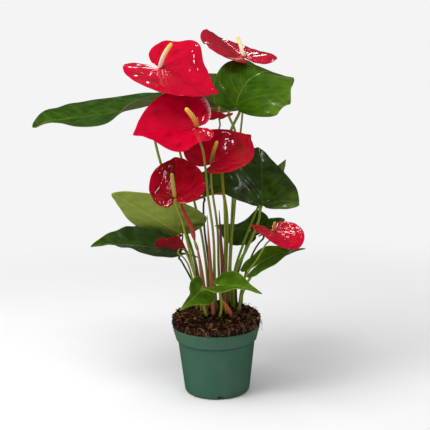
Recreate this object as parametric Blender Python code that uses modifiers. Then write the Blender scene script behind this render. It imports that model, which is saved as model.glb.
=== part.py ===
"""A potted anthurium: nursery pot, root ball, petioles with heart-shaped leaves,
and flower stalks that each carry a red spathe and its spadix.

Metres, +Z up, the front of the plant faces -Y. The origin is the centre of the
underside of the pot."""
import bpy
import bmesh
import numpy as np
from mathutils import Vector

MM = 0.001
GAP = 0.3 * MM  # clearance between pieces that touch

# Pot, a turned shell with a collar and notches at its foot
POT_HEIGHT = 99.5 * MM
RIM_RADIUS = 63.5 * MM
COLLAR_HEIGHT = 20.5 * MM
COLLAR_FOOT_RADIUS = 59.0 * MM
BODY_TOP_RADIUS = 56.4 * MM
BASE_RADIUS = 48.0 * MM
BASE_ROUND = 5.0 * MM
WALL = 2.0 * MM
FLOOR = 2.4 * MM
FOOT_RING = 5.0 * MM
FOOT_RECESS = 1.2 * MM
CENTRE_PAD = 14.0 * MM  # radius of the flat disc under the pot's middle
POT_STEPS = 48
NOTCHES = 4
FIRST_NOTCH = -85.0  # compass angle of the front notch, in degrees
NOTCH_WIDTH = 10.0 * MM
NOTCH_HEIGHT = 5.0 * MM
NOTCH_DEPTH = 7.0 * MM
# The rolled rim, in mm out from the rim's radius and up from its top
RIM_SECTION = ((-3.2, -3.0), (-2.4, -0.6), (-1.4, 0.0), (-0.4, -0.4), (0.0, -1.4), (-0.3, -3.4))

# What follows from the pot's sizes
COLLAR_FOOT = POT_HEIGHT - COLLAR_HEIGHT
WALL_SLANT = (BODY_TOP_RADIUS - BASE_RADIUS) / (COLLAR_FOOT - BASE_ROUND)
FLOOR_TOP = FOOT_RECESS + FLOOR
FLOOR_RADIUS = BASE_RADIUS - WALL + WALL_SLANT * (FLOOR - BASE_ROUND)

# Root ball, standing proud of the rim
SOIL_SHOULDER = 111.0 * MM
SOIL_TOP = 125.0 * MM
SOIL_OVERHANG = 1.4 * MM
SOIL_LUMPS = 1.6 * MM  # greatest height of a lump
LUMP_SIZE = 9.0 * MM
SOIL_STEPS = 40
STEM_DEPTH = 18.0 * MM  # how far a stem goes into the root ball

# Thickness of the sheets
LEAF_THICKNESS = 0.9 * MM
SPATHE_THICKNESS = 1.1 * MM
RAYS = 12  # rays from the stalk to the margin, on each side of the midrib
RINGS = 4

# Outlines as (angle from the tip in degrees, radius as a share of the length)
LEAF_OUTLINE = ((0, 1.0), (5, 0.88), (14, 0.72), (28, 0.60), (48, 0.52), (72, 0.47),
                (100, 0.455), (125, 0.45), (145, 0.42), (158, 0.34), (168, 0.20))
SPATHE_OUTLINE = ((0, 1.0), (5, 0.90), (14, 0.80), (28, 0.73), (48, 0.69), (72, 0.66),
                  (100, 0.64), (125, 0.60), (145, 0.52), (158, 0.41), (168, 0.24))
FULLEST_ANGLE = 20.0  # where a margin's fullness counts most, in degrees from the tip
CURL_REACH = 0.6      # share of the length over which a half turns by its curl
RAY_CROWDING = 1.25   # above 1, the rays stand closer together near the tip
RING_CROWDING = 1.5   # above 1, the rings stand closer together near the stalk
STRAIGHT = 1e-4       # a curl or bend below this would divide by nothing

# Blades. at is the stalk's end in mm; heading is the compass angle of the midrib (0 is +X,
# 90 is +Y), slope its rise and roll its turn, in degrees. Pairs are (left, right) halves:
# width and full shape the outline, lobe is the share of the lobe that shows, fold is
# how far a half rises from the midrib, curl how far it turns on, wave how far its margin
# waves. bend, lobe_bend and twist turn the midrib over the length. margin makes the outline
# fuller or shyer, as (place from -1 to 1, width, share).
LEAVES = {
    "leaf_upper_right": dict(
        at=(33, 28, 413), heading=21, slope=78, roll=-22, length=145, width=(0.85, 1.1),
        full=(0.1, 0.1), fold=(9, -3), curl=(-3, -12), lobe=(0.25, 0.15), bend=137, lobe_bend=41,
        twist=-12, wave=(15, -13), wave_at=0.35, margin=((-0.85, 0.33, -0.55),)),
    "leaf_upper_back": dict(
        at=(26, 98, 407), heading=152, slope=-1, roll=-33, length=124, width=(1.05, 0.95),
        full=(0.2, 0.1), fold=(22, 22), curl=(8, 7), lobe=(0.35, 0.35), bend=20, lobe_bend=8,
        twist=-7, wave=(0, 0), wave_at=0.5),
    "leaf_far_left": dict(
        at=(-88, 54, 418), heading=180, slope=-13, roll=2, length=169, width=(1.0, 0.9),
        full=(0.1, 0.3), fold=(6, 10), curl=(6, -8), lobe=(0.6, 0.6), bend=-11, lobe_bend=1,
        twist=18, wave=(-8, -1), wave_at=0.5),
    "leaf_right": dict(
        at=(69, 17, 272), heading=84, slope=46, roll=-17, length=140, width=(0.95, 0.85),
        full=(0.05, -0.05), fold=(15, 15), curl=(1, 0), lobe=(0.15, 0.15), bend=32, lobe_bend=40,
        twist=-4, wave=(3, -4), wave_at=0.5, margin=((-0.93, 0.13, -0.25),)),
    "leaf_right_back": dict(
        at=(74, 98, 280), heading=-10, slope=54, roll=67, length=61, width=(1.0, 0.8),
        full=(0.05, -0.15), fold=(12, 4), curl=(0, 0), lobe=(0.9, 0.85), bend=5, lobe_bend=0,
        twist=-11, wave=(3, 2), wave_at=0.2),
    "leaf_left": dict(
        at=(-50, 2, 236), heading=206, slope=35, roll=-27, length=122, width=(1.0, 1.0),
        full=(0.1, 0.15), fold=(13, 15), curl=(-2, 0), lobe=(0.3, 0.3), bend=3, lobe_bend=35,
        twist=-18, wave=(2, 6), wave_at=0.95),
    "leaf_low_left": dict(
        at=(-52, 68, 191), heading=204, slope=19, roll=11, length=135, width=(0.95, 0.95),
        full=(0.0, 0.15), fold=(14, 18), curl=(0, -2), lobe=(0.3, 0.15), bend=15, lobe_bend=85,
        twist=4, wave=(9, 1), wave_at=0.95),
    "leaf_front_left": dict(
        at=(-22, -49, 163), heading=246, slope=-10, roll=52, length=54, width=(1.0, 0.85),
        full=(-0.15, -0.05), fold=(15, 18), curl=(0, 5), lobe=(1.0, 0.95), bend=14, lobe_bend=3,
        twist=-7, wave=(3, 4), wave_at=0.55),
    "leaf_front_right": dict(
        at=(4, -52, 172), heading=-35, slope=11, roll=-10, length=67, width=(1.0, 1.0),
        full=(-0.05, -0.05), fold=(15, 11), curl=(3, 5), lobe=(0.6, 0.7), bend=26, lobe_bend=4,
        twist=-3, wave=(-2, 10), wave_at=0.75),
    "leaf_low_right": dict(
        at=(60, -30, 195), heading=5, slope=36, roll=-9, length=65, width=(0.9, 0.95),
        full=(0.1, 0.05), fold=(10, 6), curl=(0, -11), lobe=(1.15, 1.0), bend=39, lobe_bend=4,
        twist=-5, wave=(7, -4), wave_at=0.35),
    "leaf_inner_right": dict(
        at=(50, 61, 226), heading=133, slope=3, roll=36, length=81, width=(0.95, 1.05),
        full=(-0.05, -0.1), fold=(6, -1), curl=(0, -2), lobe=(1.05, 0.85), bend=16, lobe_bend=4,
        twist=-25, wave=(4, -15), wave_at=0.55),
    "leaf_small_back": dict(
        at=(72, 72, 219), heading=36, slope=25, roll=-1, length=47, width=(0.9, 0.95),
        full=(0.2, 0.2), fold=(16, 21), curl=(6, 2), lobe=(1.05, 0.85), bend=10, lobe_bend=14,
        twist=-13, wave=(3, 2), wave_at=0.5),
    "leaf_inner_back": dict(
        at=(-16, 94, 275), heading=20, slope=18, roll=-17, length=77, width=(1.05, 0.95),
        full=(0.2, 0.1), fold=(19, 24), curl=(11, 6), lobe=(0.85, 0.9), bend=15, lobe_bend=8,
        twist=-25, wave=(4, -4), wave_at=0.3),
}
SPATHES = {
    "spathe_upper_left": dict(
        at=(-72, 0, 471), heading=-23, slope=-18, roll=-33, length=91, width=(0.95, 0.95),
        full=(0.0, 0.15), fold=(11, 16), curl=(-3, -5), lobe=(0.75, 1.0), bend=9, lobe_bend=11,
        twist=-8, wave=(6, 0), wave_at=0.2),
    "spathe_top_right": dict(
        at=(47, 90, 482), heading=116, slope=20, roll=-9, length=89, width=(1.05, 0.9),
        full=(0.25, 0.0), fold=(8, 11), curl=(-3, 0), lobe=(0.95, 0.75), bend=-1, lobe_bend=0,
        twist=-11, wave=(-3, -2), wave_at=0.4),
    "spathe_front": dict(
        at=(-21, -43, 392), heading=190, slope=0, roll=40, length=86, width=(0.95, 1.05),
        full=(0.0, 0.15), fold=(15, 12), curl=(10, 3), lobe=(0.7, 0.6), bend=13, lobe_bend=5,
        twist=16, wave=(10, -2), wave_at=0.9, margin=((-0.82, 0.18, -0.25),)),
    "spathe_behind": dict(
        at=(9, 12, 400), heading=-68, slope=22, roll=0, length=34, width=(0.85, 1.0),
        full=(0.05, 0.0), fold=(13, 18), curl=(1, -4), lobe=(1.0, 1.1), bend=29, lobe_bend=0,
        twist=19, wave=(3, 2), wave_at=0.3),
    "spathe_middle": dict(
        at=(-3, -17, 337), heading=45, slope=17, roll=-21, length=83, width=(0.95, 1.0),
        full=(0.15, 0.1), fold=(17, 19), curl=(9, 4), lobe=(0.7, 0.7), bend=-15, lobe_bend=5,
        twist=-8, wave=(4, 0), wave_at=0.7),
    "spathe_lower_left": dict(
        at=(-53, -67, 300), heading=91, slope=48, roll=-5, length=68, width=(0.9, 1.0),
        full=(0.05, 0.15), fold=(23, 25), curl=(10, 9), lobe=(0.75, 0.5), bend=5, lobe_bend=9,
        twist=-5, wave=(1, -1), wave_at=0.7),
    "spathe_small_right": dict(
        at=(82, -45, 246), heading=-61, slope=-12, roll=0, length=53, width=(0.95, 0.95),
        full=(0.3, 0.2), fold=(13, 11), curl=(1, 5), lobe=(0.8, 0.95), bend=10, lobe_bend=3,
        twist=-7, wave=(1, -3), wave_at=0.85),
    "spathe_withered": dict(
        at=(-49, -21, 220), heading=152, slope=15, roll=-34, length=36, width=(0.9, 0.9),
        full=(0.3, 0.1), fold=(4, -4), curl=(35, 24), lobe=(0.65, 0.85), bend=43, lobe_bend=5,
        twist=2, wave=(13, 8), wave_at=0.9),
}

# Stems, in mm: (blade it carries, radius at the root and at the blade, place in the
# root ball, points it bends through)
STEMS = {
    "petiole_upper_right": ("leaf_upper_right", 2.4, 2, (16, 1),
                             ((15, -8, 181), (18, -14, 257), (12, 6, 325), (24, 37, 372))),
    "petiole_upper_back": ("leaf_upper_back", 2, 1.7, (19, 8),
                            ((21, 29, 174), (26, 52, 249), (32, 77, 346), (32, 88, 381))),
    "petiole_far_left": ("leaf_far_left", 2.1, 1.7, (-17, 3),
                          ((-25, 4, 170), (-35, 6, 217), (-59, 7, 283), (-75, 8, 337), (-86, 31, 383))),
    "petiole_right": ("leaf_right", 2.3, 1.9, (25, -9),
                       ((30, 4, 178), (44, 13, 204), (59, 24, 233), (66, 26, 253))),
    "petiole_right_back": ("leaf_right_back", 1.9, 1.5, (23, 30),
                            ((29, 28, 173), (44, 27, 218), (63, 57, 256))),
    "petiole_left": ("leaf_left", 2.1, 1.8, (-24, 2),
                      ((-31, 1, 178), (-39, 1, 202), (-47, 3, 220))),
    "petiole_low_left": ("leaf_low_left", 1.5, 1.2, (-20, 11),
                          ((-31, 29, 148), (-48, 49, 178))),
    "petiole_front_left": ("leaf_front_left", 1.6, 1.3, (-11, -33),
                            ((-16, -37, 135), (-22, -42, 153))),
    "petiole_front_right": ("leaf_front_right", 1.6, 1.3, (3, -34),
                             ((8, -44, 146), (6, -49, 160))),
    "petiole_low_right": ("leaf_low_right", 1.8, 1.5, (30, -12),
                           ((40, -19, 154), (55, -25, 181))),
    "petiole_inner_right": ("leaf_inner_right", 1.8, 1.4, (30, 17),
                             ((32, 29, 163), (41, 38, 189), (49, 53, 210))),
    "petiole_small_back": ("leaf_small_back", 1.5, 1.2, (36, 26),
                            ((46, 46, 165), (63, 63, 200))),
    "petiole_inner_back": ("leaf_inner_back", 1.8, 1.4, (-5, 14),
                            ((-10, 24, 190), (-15, 31, 236), (-16, 66, 265))),
    "peduncle_upper_left": ("spathe_upper_left", 1.9, 1.4, (-9, 3),
                             ((-15, -3, 208), (-26, -7, 274), (-45, -9, 346), (-60, -13, 412),
                              (-70, -18, 449))),
    "peduncle_top_right": ("spathe_top_right", 1.8, 1.4, (24, -2),
                            ((22, 18, 175), (29, 48, 249), (40, 81, 360), (47, 87, 436))),
    "peduncle_front": ("spathe_front", 2, 1.5, (1, -19),
                        ((-1, -21, 167), (-2, -26, 240), (-9, -30, 300), (-15, -36, 363))),
    "peduncle_behind": ("spathe_behind", 1.6, 1.1, (10, 0),
                         ((14, -18, 215), (14, -16, 292), (11, 7, 340), (9, 35, 383))),
    "peduncle_middle": ("spathe_middle", 1.9, 1.5, (9, -13),
                         ((5, -13, 182), (4, -12, 247), (-2, -12, 297), (-4, -14, 322))),
    "peduncle_lower_left": ("spathe_lower_left", 1.8, 1.4, (-17, -15),
                             ((-30, -25, 186), (-39, -33, 232), (-48, -39, 272), (-53, -52, 287))),
    "peduncle_small_right": ("spathe_small_right", 1.3, 1.1, (32, 4),
                              ((38, -14, 158), (47, -31, 186), (59, -38, 204), (72, -42, 228))),
    "peduncle_withered": ("spathe_withered", 1.3, 1.0, (-26, -3),
                           ((-33, -13, 171), (-43, -22, 203))),
}
STEM_POINTS = 11
TUBE_SIDES = 2  # bevel resolution of a stem
POCKET_GAP = 1.3 * GAP  # a little over the gap, as a pocket's flats stand closer than its corners
NECK = 6.0 * MM  # straight end of a stem under its blade

# Spadices: (spathe, length in mm, greatest radius in mm, lean to the tip, swing to the right)
SPADICES = {
    "spadix_upper_left": ("spathe_upper_left", 42, 3.2, 18, -18),
    "spadix_top_right": ("spathe_top_right", 32, 3.0, 38, -20),
    "spadix_front": ("spathe_front", 38, 3.4, 29, 4),
    "spadix_behind": ("spathe_behind", 15, 1.8, 30, 0),
    "spadix_middle": ("spathe_middle", 36, 2.8, 14, 2),
    "spadix_lower_left": ("spathe_lower_left", 37, 2.8, 27, -10),
    "spadix_small_right": ("spathe_small_right", 17, 2.3, 20, 12),
    "spadix_withered": ("spathe_withered", 22, 1.2, 20, 0),
}
SPADIX_SHAPE = ((0, 0.35), (0.05, 0.75), (0.14, 0.95), (0.35, 1.0), (0.65, 0.9),
                (0.88, 0.78), (0.96, 0.6), (1.0, 0.25))
SPADIX_FOOT = 0.9 * MM  # height of a spadix's foot above its spathe
SPADIX_ARCH = 0.06      # sideways bow, as a share of the length

# Other upright pieces, in mm: (route, radii along it as (share, radius))
SLIM_PIECES = {
    "flower_bud": (((-28, -45, 235), (-33, -45, 256), (-40, -44, 271), (-48, -42, 294)),
                   ((0, 1.4), (0.15, 3.4), (0.4, 3.2), (0.75, 1.9), (1, 0.4))),
    "stalk_bud": (((-24, -37, 220), (-26, -40, 226), (-28, -45, 234)),
                  ((0, 1.3), (1, 1.1))),
    "sheath_left": (((-13, -25, 108), (-18, -27, 169), (-21, -30, 197), (-24, -36, 219)),
                    ((0, 4.2), (0.45, 4.5), (0.8, 2.8), (1, 1.7))),
    "sheath_middle": (((-3, -29, 108), (-5, -28, 160), (-7, -26, 200), (-10, -22, 266)),
                      ((0, 4), (0.35, 4.8), (0.7, 2.7), (1, 0.5))),
    "sheath_right": (((12, -22, 108), (11, -21, 170), (9, -20, 220), (7, -19, 272)),
                     ((0, 2.8), (0.4, 3.3), (0.75, 2), (1, 0.5))),
    "sheath_dry": (((21, -33, 118), (19, -33, 126), (14, -34, 136), (9, -36, 146)),
                   ((0, 2.6), (0.4, 3.8), (0.75, 2.6), (1, 0.6))),
    "young_shoot": (((17, -24, 108), (15, -26, 124), (13, -27, 140)),
                    ((0, 2.6), (0.6, 2), (1, 0.4))),
    "old_stub": (((-10, -43, 100), (-10, -43, 112), (-7, -42, 122)),
                 ((0, 2), (1, 1.3))),
}
SLIM_POINTS = 8


def smooth_through(xs, ys, x):
    """Value at x of a smooth curve through the points (xs, ys)."""
    xs = np.asarray(xs, float)
    ys = np.asarray(ys, float)
    slopes = np.gradient(ys, xs, axis=0)
    i = np.clip(np.searchsorted(xs, x, side="right") - 1, 0, len(xs) - 2)
    span = xs[i + 1] - xs[i]
    t = (x - xs[i]) / span
    if ys.ndim > 1:
        t = t[..., None]
        span = span[..., None]
    start = (2 * t**3 - 3 * t**2 + 1) * ys[i] + (t**3 - 2 * t**2 + t) * span * slopes[i]
    end = (3 * t**2 - 2 * t**3) * ys[i + 1] + (t**3 - t**2) * span * slopes[i + 1]
    return start + end


def smooth_route(points, count):
    """count points spread evenly along a smooth curve through the given points."""
    points = np.asarray(points, float)
    steps = np.linalg.norm(np.diff(points, axis=0), axis=1)
    along = np.concatenate([[0.0], np.cumsum(steps)])
    return smooth_through(along, points, np.linspace(0, along[-1], count))


def axes_of(spec):
    """Unit vectors across, along and out of the upper face of a blade at its stalk."""
    heading, slope, roll = np.radians([spec["heading"], spec["slope"], spec["roll"]])
    along = np.array([np.cos(slope) * np.cos(heading), np.cos(slope) * np.sin(heading), np.sin(slope)])
    up = np.array([-np.sin(slope) * np.cos(heading), -np.sin(slope) * np.sin(heading), np.cos(slope)])
    across = np.cross(along, up)
    return (np.cos(roll) * across + np.sin(roll) * up, along,
            np.cos(roll) * up - np.sin(roll) * across)


def blade_point(spec, outline, u, v):
    """Points of a blade's upper face. u runs from the left lobe (-1) over the tip (0)
    to the right lobe (1), and v from the stalk (0) to the margin (1)."""
    length = spec["length"] * MM
    left = u < 0

    def side(key):
        return np.where(left, spec[key][0], spec[key][1])

    # Flat heart: a ray for each u, longer where the margin is full
    angles, radii = np.array(outline, float).T
    degrees = angles[-1] * np.abs(u) ** RAY_CROWDING
    reach = degrees / FULLEST_ANGLE
    radius = smooth_through(angles, radii, degrees) * (1 + side("full") * reach * np.exp(1 - reach))
    for middle, width, fuller in spec.get("margin", ()):
        radius = radius * (1 + fuller * np.exp(-((u - middle) / width) ** 2))
    theta = np.radians(degrees) * np.where(left, -1, 1)
    x = v * radius * np.sin(theta) * side("width") * length
    y = v * radius * np.cos(theta) * length
    y = np.where(y < 0, y * side("lobe"), y)

    # Each half rises from the midrib by its fold and its wave, then turns by its curl
    share = y / length
    wave = np.cos(2 * np.pi * (share - spec["wave_at"])) * np.clip(4 * share + 0.5, 0, 1)
    fold = np.radians(side("fold") + side("wave") * wave)
    curl = np.radians(side("curl")) / (CURL_REACH * length)
    curl = np.where(np.abs(curl) < STRAIGHT, STRAIGHT, curl)
    far = np.abs(x)
    out = (np.sin(fold + curl * far) - np.sin(fold)) / curl * np.sign(x)
    rise = (np.cos(fold) - np.cos(fold + curl * far)) / curl
    twist = np.radians(spec["twist"]) * np.clip(share, 0, None)
    out, rise = out * np.cos(twist) - rise * np.sin(twist), out * np.sin(twist) + rise * np.cos(twist)

    # The midrib arches down towards the tip, and the lobes turn up behind the stalk
    bend = np.where(y >= 0, np.radians(spec["bend"]), -np.radians(spec["lobe_bend"])) / length
    bend = np.where(np.abs(bend) < STRAIGHT, STRAIGHT, bend)
    turn = bend * y
    run = np.sin(turn) / bend + rise * np.sin(turn)
    lift = -(1 - np.cos(turn)) / bend + rise * np.cos(turn)
    across, along, up = axes_of(spec)
    at = np.array(spec["at"], float) * MM
    return at + out[..., None] * across + run[..., None] * along + lift[..., None] * up


def new_material(name, colour, roughness):
    """A non-metallic Principled material."""
    material = bpy.data.materials.new(name)
    material.use_nodes = True
    shader = material.node_tree.nodes["Principled BSDF"]
    shader.inputs["Base Color"].default_value = (*colour, 1.0)
    shader.inputs["Roughness"].default_value = roughness
    shader.inputs["Metallic"].default_value = 0.0
    return material


def add_object(name, data, material, collection):
    """Put data in the scene as an object of this name and material."""
    piece = bpy.data.objects.new(name, data)
    data.materials.append(material)
    collection.objects.link(piece)
    return piece


def as_mesh(piece):
    """Replace an object by the mesh that its curve and modifiers make, welded."""
    bpy.context.view_layer.update()
    evaluated = piece.evaluated_get(bpy.context.evaluated_depsgraph_get())
    mesh = bpy.data.meshes.new_from_object(evaluated)
    shape = bmesh.new()
    shape.from_mesh(mesh)
    bmesh.ops.remove_doubles(shape, verts=shape.verts, dist=1e-6)
    shape.to_mesh(mesh)
    shape.free()
    name, place, collection = piece.name, piece.matrix_world.copy(), piece.users_collection[0]
    bpy.data.objects.remove(piece)
    solid = bpy.data.objects.new(name, mesh)
    solid.matrix_world = place
    collection.objects.link(solid)
    return solid


def make_blade(name, spec, outline, thickness, material, collection):
    """A leaf or a spathe: a grid shaped as the blade, with a thickness below it."""
    shape = bmesh.new()
    bmesh.ops.create_grid(shape, x_segments=2 * RAYS, y_segments=RINGS, size=1.0)
    for vert in shape.verts:
        u, v = vert.co.x, (0.5 * (vert.co.y + 1)) ** RING_CROWDING
        vert.co = Vector(blade_point(spec, outline, np.array(u), np.array(v)))
    bmesh.ops.remove_doubles(shape, verts=shape.verts, dist=1e-6)
    mesh = bpy.data.meshes.new(name)
    shape.to_mesh(mesh)
    shape.free()
    mesh.shade_smooth()
    blade = add_object(name, mesh, material, collection)
    solid = blade.modifiers.new("thickness", "SOLIDIFY")
    solid.thickness = thickness
    solid.offset = -1.0
    return blade


def make_tube(name, points, radii, material, collection):
    """A solid tube along the points, with a radius at each."""
    curve = bpy.data.curves.new(name, "CURVE")
    curve.dimensions = "3D"
    curve.bevel_depth = 1.0
    curve.bevel_resolution = TUBE_SIDES
    curve.use_fill_caps = True
    spline = curve.splines.new("POLY")
    spline.points.add(len(points) - 1)
    for point, place, radius in zip(spline.points, points, radii):
        point.co = (*place, 1.0)
        point.radius = radius
    return add_object(name, curve, material, collection)


def stem_route(top, normal, thickness, root, bends):
    """A stem's points from inside the root ball to the underside of its blade."""
    foot = np.array([root[0] * MM, root[1] * MM, SOIL_TOP - STEM_DEPTH])
    end = np.array(top, float) * MM - (thickness + 2 * GAP) * normal
    route = smooth_route([foot, *(np.array(bend) * MM for bend in bends), end - NECK * normal],
                         STEM_POINTS)
    return np.vstack([route, end])


def make_pot(material, collection, cutters):
    """The pot: half a section turned round the axis, with notches at its foot."""
    turns = np.radians(np.linspace(0, 90, 5))
    corner = [(BASE_RADIUS - BASE_ROUND * (1 - np.cos(turn)), BASE_ROUND * (1 - np.sin(turn)))
              for turn in turns]
    rim = [(RIM_RADIUS + out * MM, POT_HEIGHT + up * MM) for out, up in RIM_SECTION]
    ring_inside = BASE_RADIUS - BASE_ROUND - FOOT_RING
    section = [(0, FLOOR_TOP),
               (FLOOR_RADIUS - 2 * MM, FLOOR_TOP),
               (FLOOR_RADIUS, FLOOR_TOP + 3 * MM),
               (BODY_TOP_RADIUS - WALL, COLLAR_FOOT),
               (COLLAR_FOOT_RADIUS - WALL, COLLAR_FOOT + 2 * MM),
               *rim,
               (COLLAR_FOOT_RADIUS, COLLAR_FOOT),
               (BODY_TOP_RADIUS, COLLAR_FOOT - 0.8 * MM),
               *corner,
               (ring_inside, 0),
               (ring_inside - 1 * MM, FOOT_RECESS),
               (CENTRE_PAD + 1 * MM, FOOT_RECESS),
               (CENTRE_PAD, 0),
               (0, 0)]
    mesh = bpy.data.meshes.new("pot")
    mesh.from_pydata([(radius, 0, z) for radius, z in section],
                     [(i, i + 1) for i in range(len(section) - 1)], [])
    pot = add_object("pot", mesh, material, collection)
    add_screw(pot, POT_STEPS)
    for index in range(NOTCHES):
        angle = np.radians(FIRST_NOTCH + 360 * index / NOTCHES)
        bpy.ops.mesh.primitive_cube_add(
            size=1.0, location=(BASE_RADIUS * np.cos(angle), BASE_RADIUS * np.sin(angle), 0),
            rotation=(0, 0, angle), scale=(2 * NOTCH_DEPTH, NOTCH_WIDTH, 2 * NOTCH_HEIGHT))
        notch = as_cutter(bpy.context.object, "notch_%d" % index, cutters)
        cut(pot, notch)
    return pot


def add_screw(piece, steps):
    """Turn a section about Z into a closed body."""
    screw = piece.modifiers.new("turn", "SCREW")
    screw.axis = "Z"
    screw.steps = steps
    screw.render_steps = steps
    screw.use_merge_vertices = True
    screw.merge_threshold = 0.1 * MM
    screw.use_smooth_shade = True


def as_cutter(piece, name, cutters):
    """Move an object to the cutters and hide it."""
    for collection in piece.users_collection:
        collection.objects.unlink(piece)
    cutters.objects.link(piece)
    piece.name = name
    piece.hide_render = True
    piece.display_type = "WIRE"
    return piece


def cut(piece, cutter):
    """Take a cutter away from a piece."""
    boolean = piece.modifiers.new(cutter.name, "BOOLEAN")
    boolean.operation = "DIFFERENCE"
    boolean.object = cutter


def make_soil(material, collection):
    """The root ball: filled to the pot's wall, heaped above the rim, and lumpy there.
    Its section is radius, height and how lumpy."""
    clear = WALL + GAP
    brim = RIM_RADIUS + SOIL_OVERHANG
    section = [(0, SOIL_TOP, 1),
               (16 * MM, SOIL_TOP, 1),
               (30 * MM, SOIL_TOP - 1 * MM, 1),
               (43 * MM, SOIL_TOP - 4 * MM, 1),
               (54 * MM, SOIL_SHOULDER + 5 * MM, 1),
               (brim - 3 * MM, SOIL_SHOULDER, 1),
               (brim, SOIL_SHOULDER - 5 * MM, 0.5),
               (brim - 1 * MM, POT_HEIGHT + 2 * MM, 0),
               (RIM_RADIUS - 3 * MM, POT_HEIGHT + 1 * MM, 0),
               (RIM_RADIUS - 4.2 * MM, POT_HEIGHT - 3 * MM, 0),
               (COLLAR_FOOT_RADIUS - clear - 1.2 * MM, COLLAR_FOOT + 3 * MM, 0),
               (BODY_TOP_RADIUS - clear - 0.4 * MM, COLLAR_FOOT + 0.5 * MM, 0),
               (FLOOR_RADIUS - 1.2 * MM, FLOOR_TOP + 3 * MM, 0),
               (FLOOR_RADIUS - 4 * MM, FLOOR_TOP + GAP, 0),
               (0, FLOOR_TOP + GAP, 0)]
    mesh = bpy.data.meshes.new("root_ball")
    mesh.from_pydata([(radius, 0, z) for radius, z, _ in section],
                     [(i, i + 1) for i in range(len(section) - 1)], [])
    soil = bpy.data.objects.new("root_ball", mesh)
    collection.objects.link(soil)
    heap = soil.vertex_groups.new(name="heap")
    for index, (_, _, lumpy) in enumerate(section):
        heap.add([index], lumpy, "REPLACE")
    add_screw(soil, SOIL_STEPS)
    lumps = bpy.data.textures.new("lumps", "CLOUDS")
    lumps.noise_scale = LUMP_SIZE
    displace = soil.modifiers.new("lumps", "DISPLACE")
    displace.texture = lumps
    displace.texture_coords = "LOCAL"
    displace.vertex_group = "heap"
    displace.strength = 2 * SOIL_LUMPS
    displace.mid_level = 0.5
    soil = as_mesh(soil)
    soil.data.materials.clear()
    soil.data.materials.append(material)
    soil.data.shade_smooth()
    return soil


def plant_in(soil, name, route, radii, material, cutters):
    """Cut the pocket that a stem stands in, a gap wider than the stem all round."""
    below = route[0] - 2 * GAP * (route[1] - route[0]) / np.linalg.norm(route[1] - route[0])
    count = 1 + np.count_nonzero(route[:, 2] < SOIL_TOP + 6 * MM)
    fat = [radius + POCKET_GAP for radius in radii[:count]]
    cutter = make_tube("pocket_" + name, np.vstack([below, route[1:count]]), fat, material, cutters)
    cutter = as_mesh(cutter)
    as_cutter(cutter, "pocket_" + name, cutters)
    cut(soil, cutter)


def main():
    for piece in list(bpy.data.objects):
        bpy.data.objects.remove(piece)
    plant = bpy.data.collections.new("potted_anthurium")
    cutters = bpy.data.collections.new("cutters")
    bpy.context.scene.collection.children.link(plant)
    bpy.context.scene.collection.children.link(cutters)

    plastic = new_material("green_plastic", (0.045, 0.105, 0.072), 0.5)
    peat = new_material("bark_and_peat", (0.045, 0.024, 0.014), 0.95)
    leaf = new_material("leaf_green", (0.035, 0.13, 0.012), 0.35)
    red = new_material("spathe_red", (0.52, 0.006, 0.02), 0.2)
    cream = new_material("spadix_cream", (0.75, 0.6, 0.22), 0.5)
    stalk = new_material("stalk_green", (0.15, 0.24, 0.04), 0.45)
    husk = new_material("sheath_brown", (0.24, 0.075, 0.035), 0.6)

    make_pot(plastic, plant, cutters)
    soil = make_soil(peat, plant)

    for name, spec in LEAVES.items():
        make_blade(name, spec, LEAF_OUTLINE, LEAF_THICKNESS, leaf, plant)
    for name, spec in SPATHES.items():
        make_blade(name, spec, SPATHE_OUTLINE, SPATHE_THICKNESS, red, plant)

    for name, (blade, low, high, root, bends) in STEMS.items():
        spec = LEAVES.get(blade) or SPATHES.get(blade)
        thickness = LEAF_THICKNESS if blade in LEAVES else SPATHE_THICKNESS
        route = stem_route(spec["at"], axes_of(spec)[2], thickness, root, bends)
        radii = np.linspace(low, high, len(route)) * MM
        make_tube(name, route, radii, stalk, plant)
        plant_in(soil, name, route, radii, peat, cutters)

    for name, (spathe, length, radius, lean, swing) in SPADICES.items():
        spec = SPATHES[spathe]
        across, along, up = axes_of(spec)
        lean, swing = np.radians([lean, swing])
        aim = np.cos(lean) * (np.cos(swing) * up + np.sin(swing) * across) + np.sin(lean) * along
        shares, widths = np.array(SPADIX_SHAPE).T
        bow = np.sin(np.pi * shares) * SPADIX_ARCH * length
        foot = np.array(spec["at"], float) * MM + SPADIX_FOOT * up
        route = foot + MM * (np.outer(shares * length, aim) - np.outer(bow, along))
        make_tube(name, route, widths * radius * MM, cream, plant)

    for name, (points, profile) in SLIM_PIECES.items():
        route = smooth_route(np.array(points, float) * MM, SLIM_POINTS)
        shares, widths = np.array(profile).T
        radii = np.interp(np.linspace(0, 1, SLIM_POINTS), shares, widths) * MM
        material = {"flower_bud": red, "stalk_bud": stalk}.get(name, husk)
        make_tube(name, route, radii, material, plant)
        if points[0][2] * MM < SOIL_TOP - 6 * MM:
            plant_in(soil, name, route, radii, peat, cutters)


main()
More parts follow.
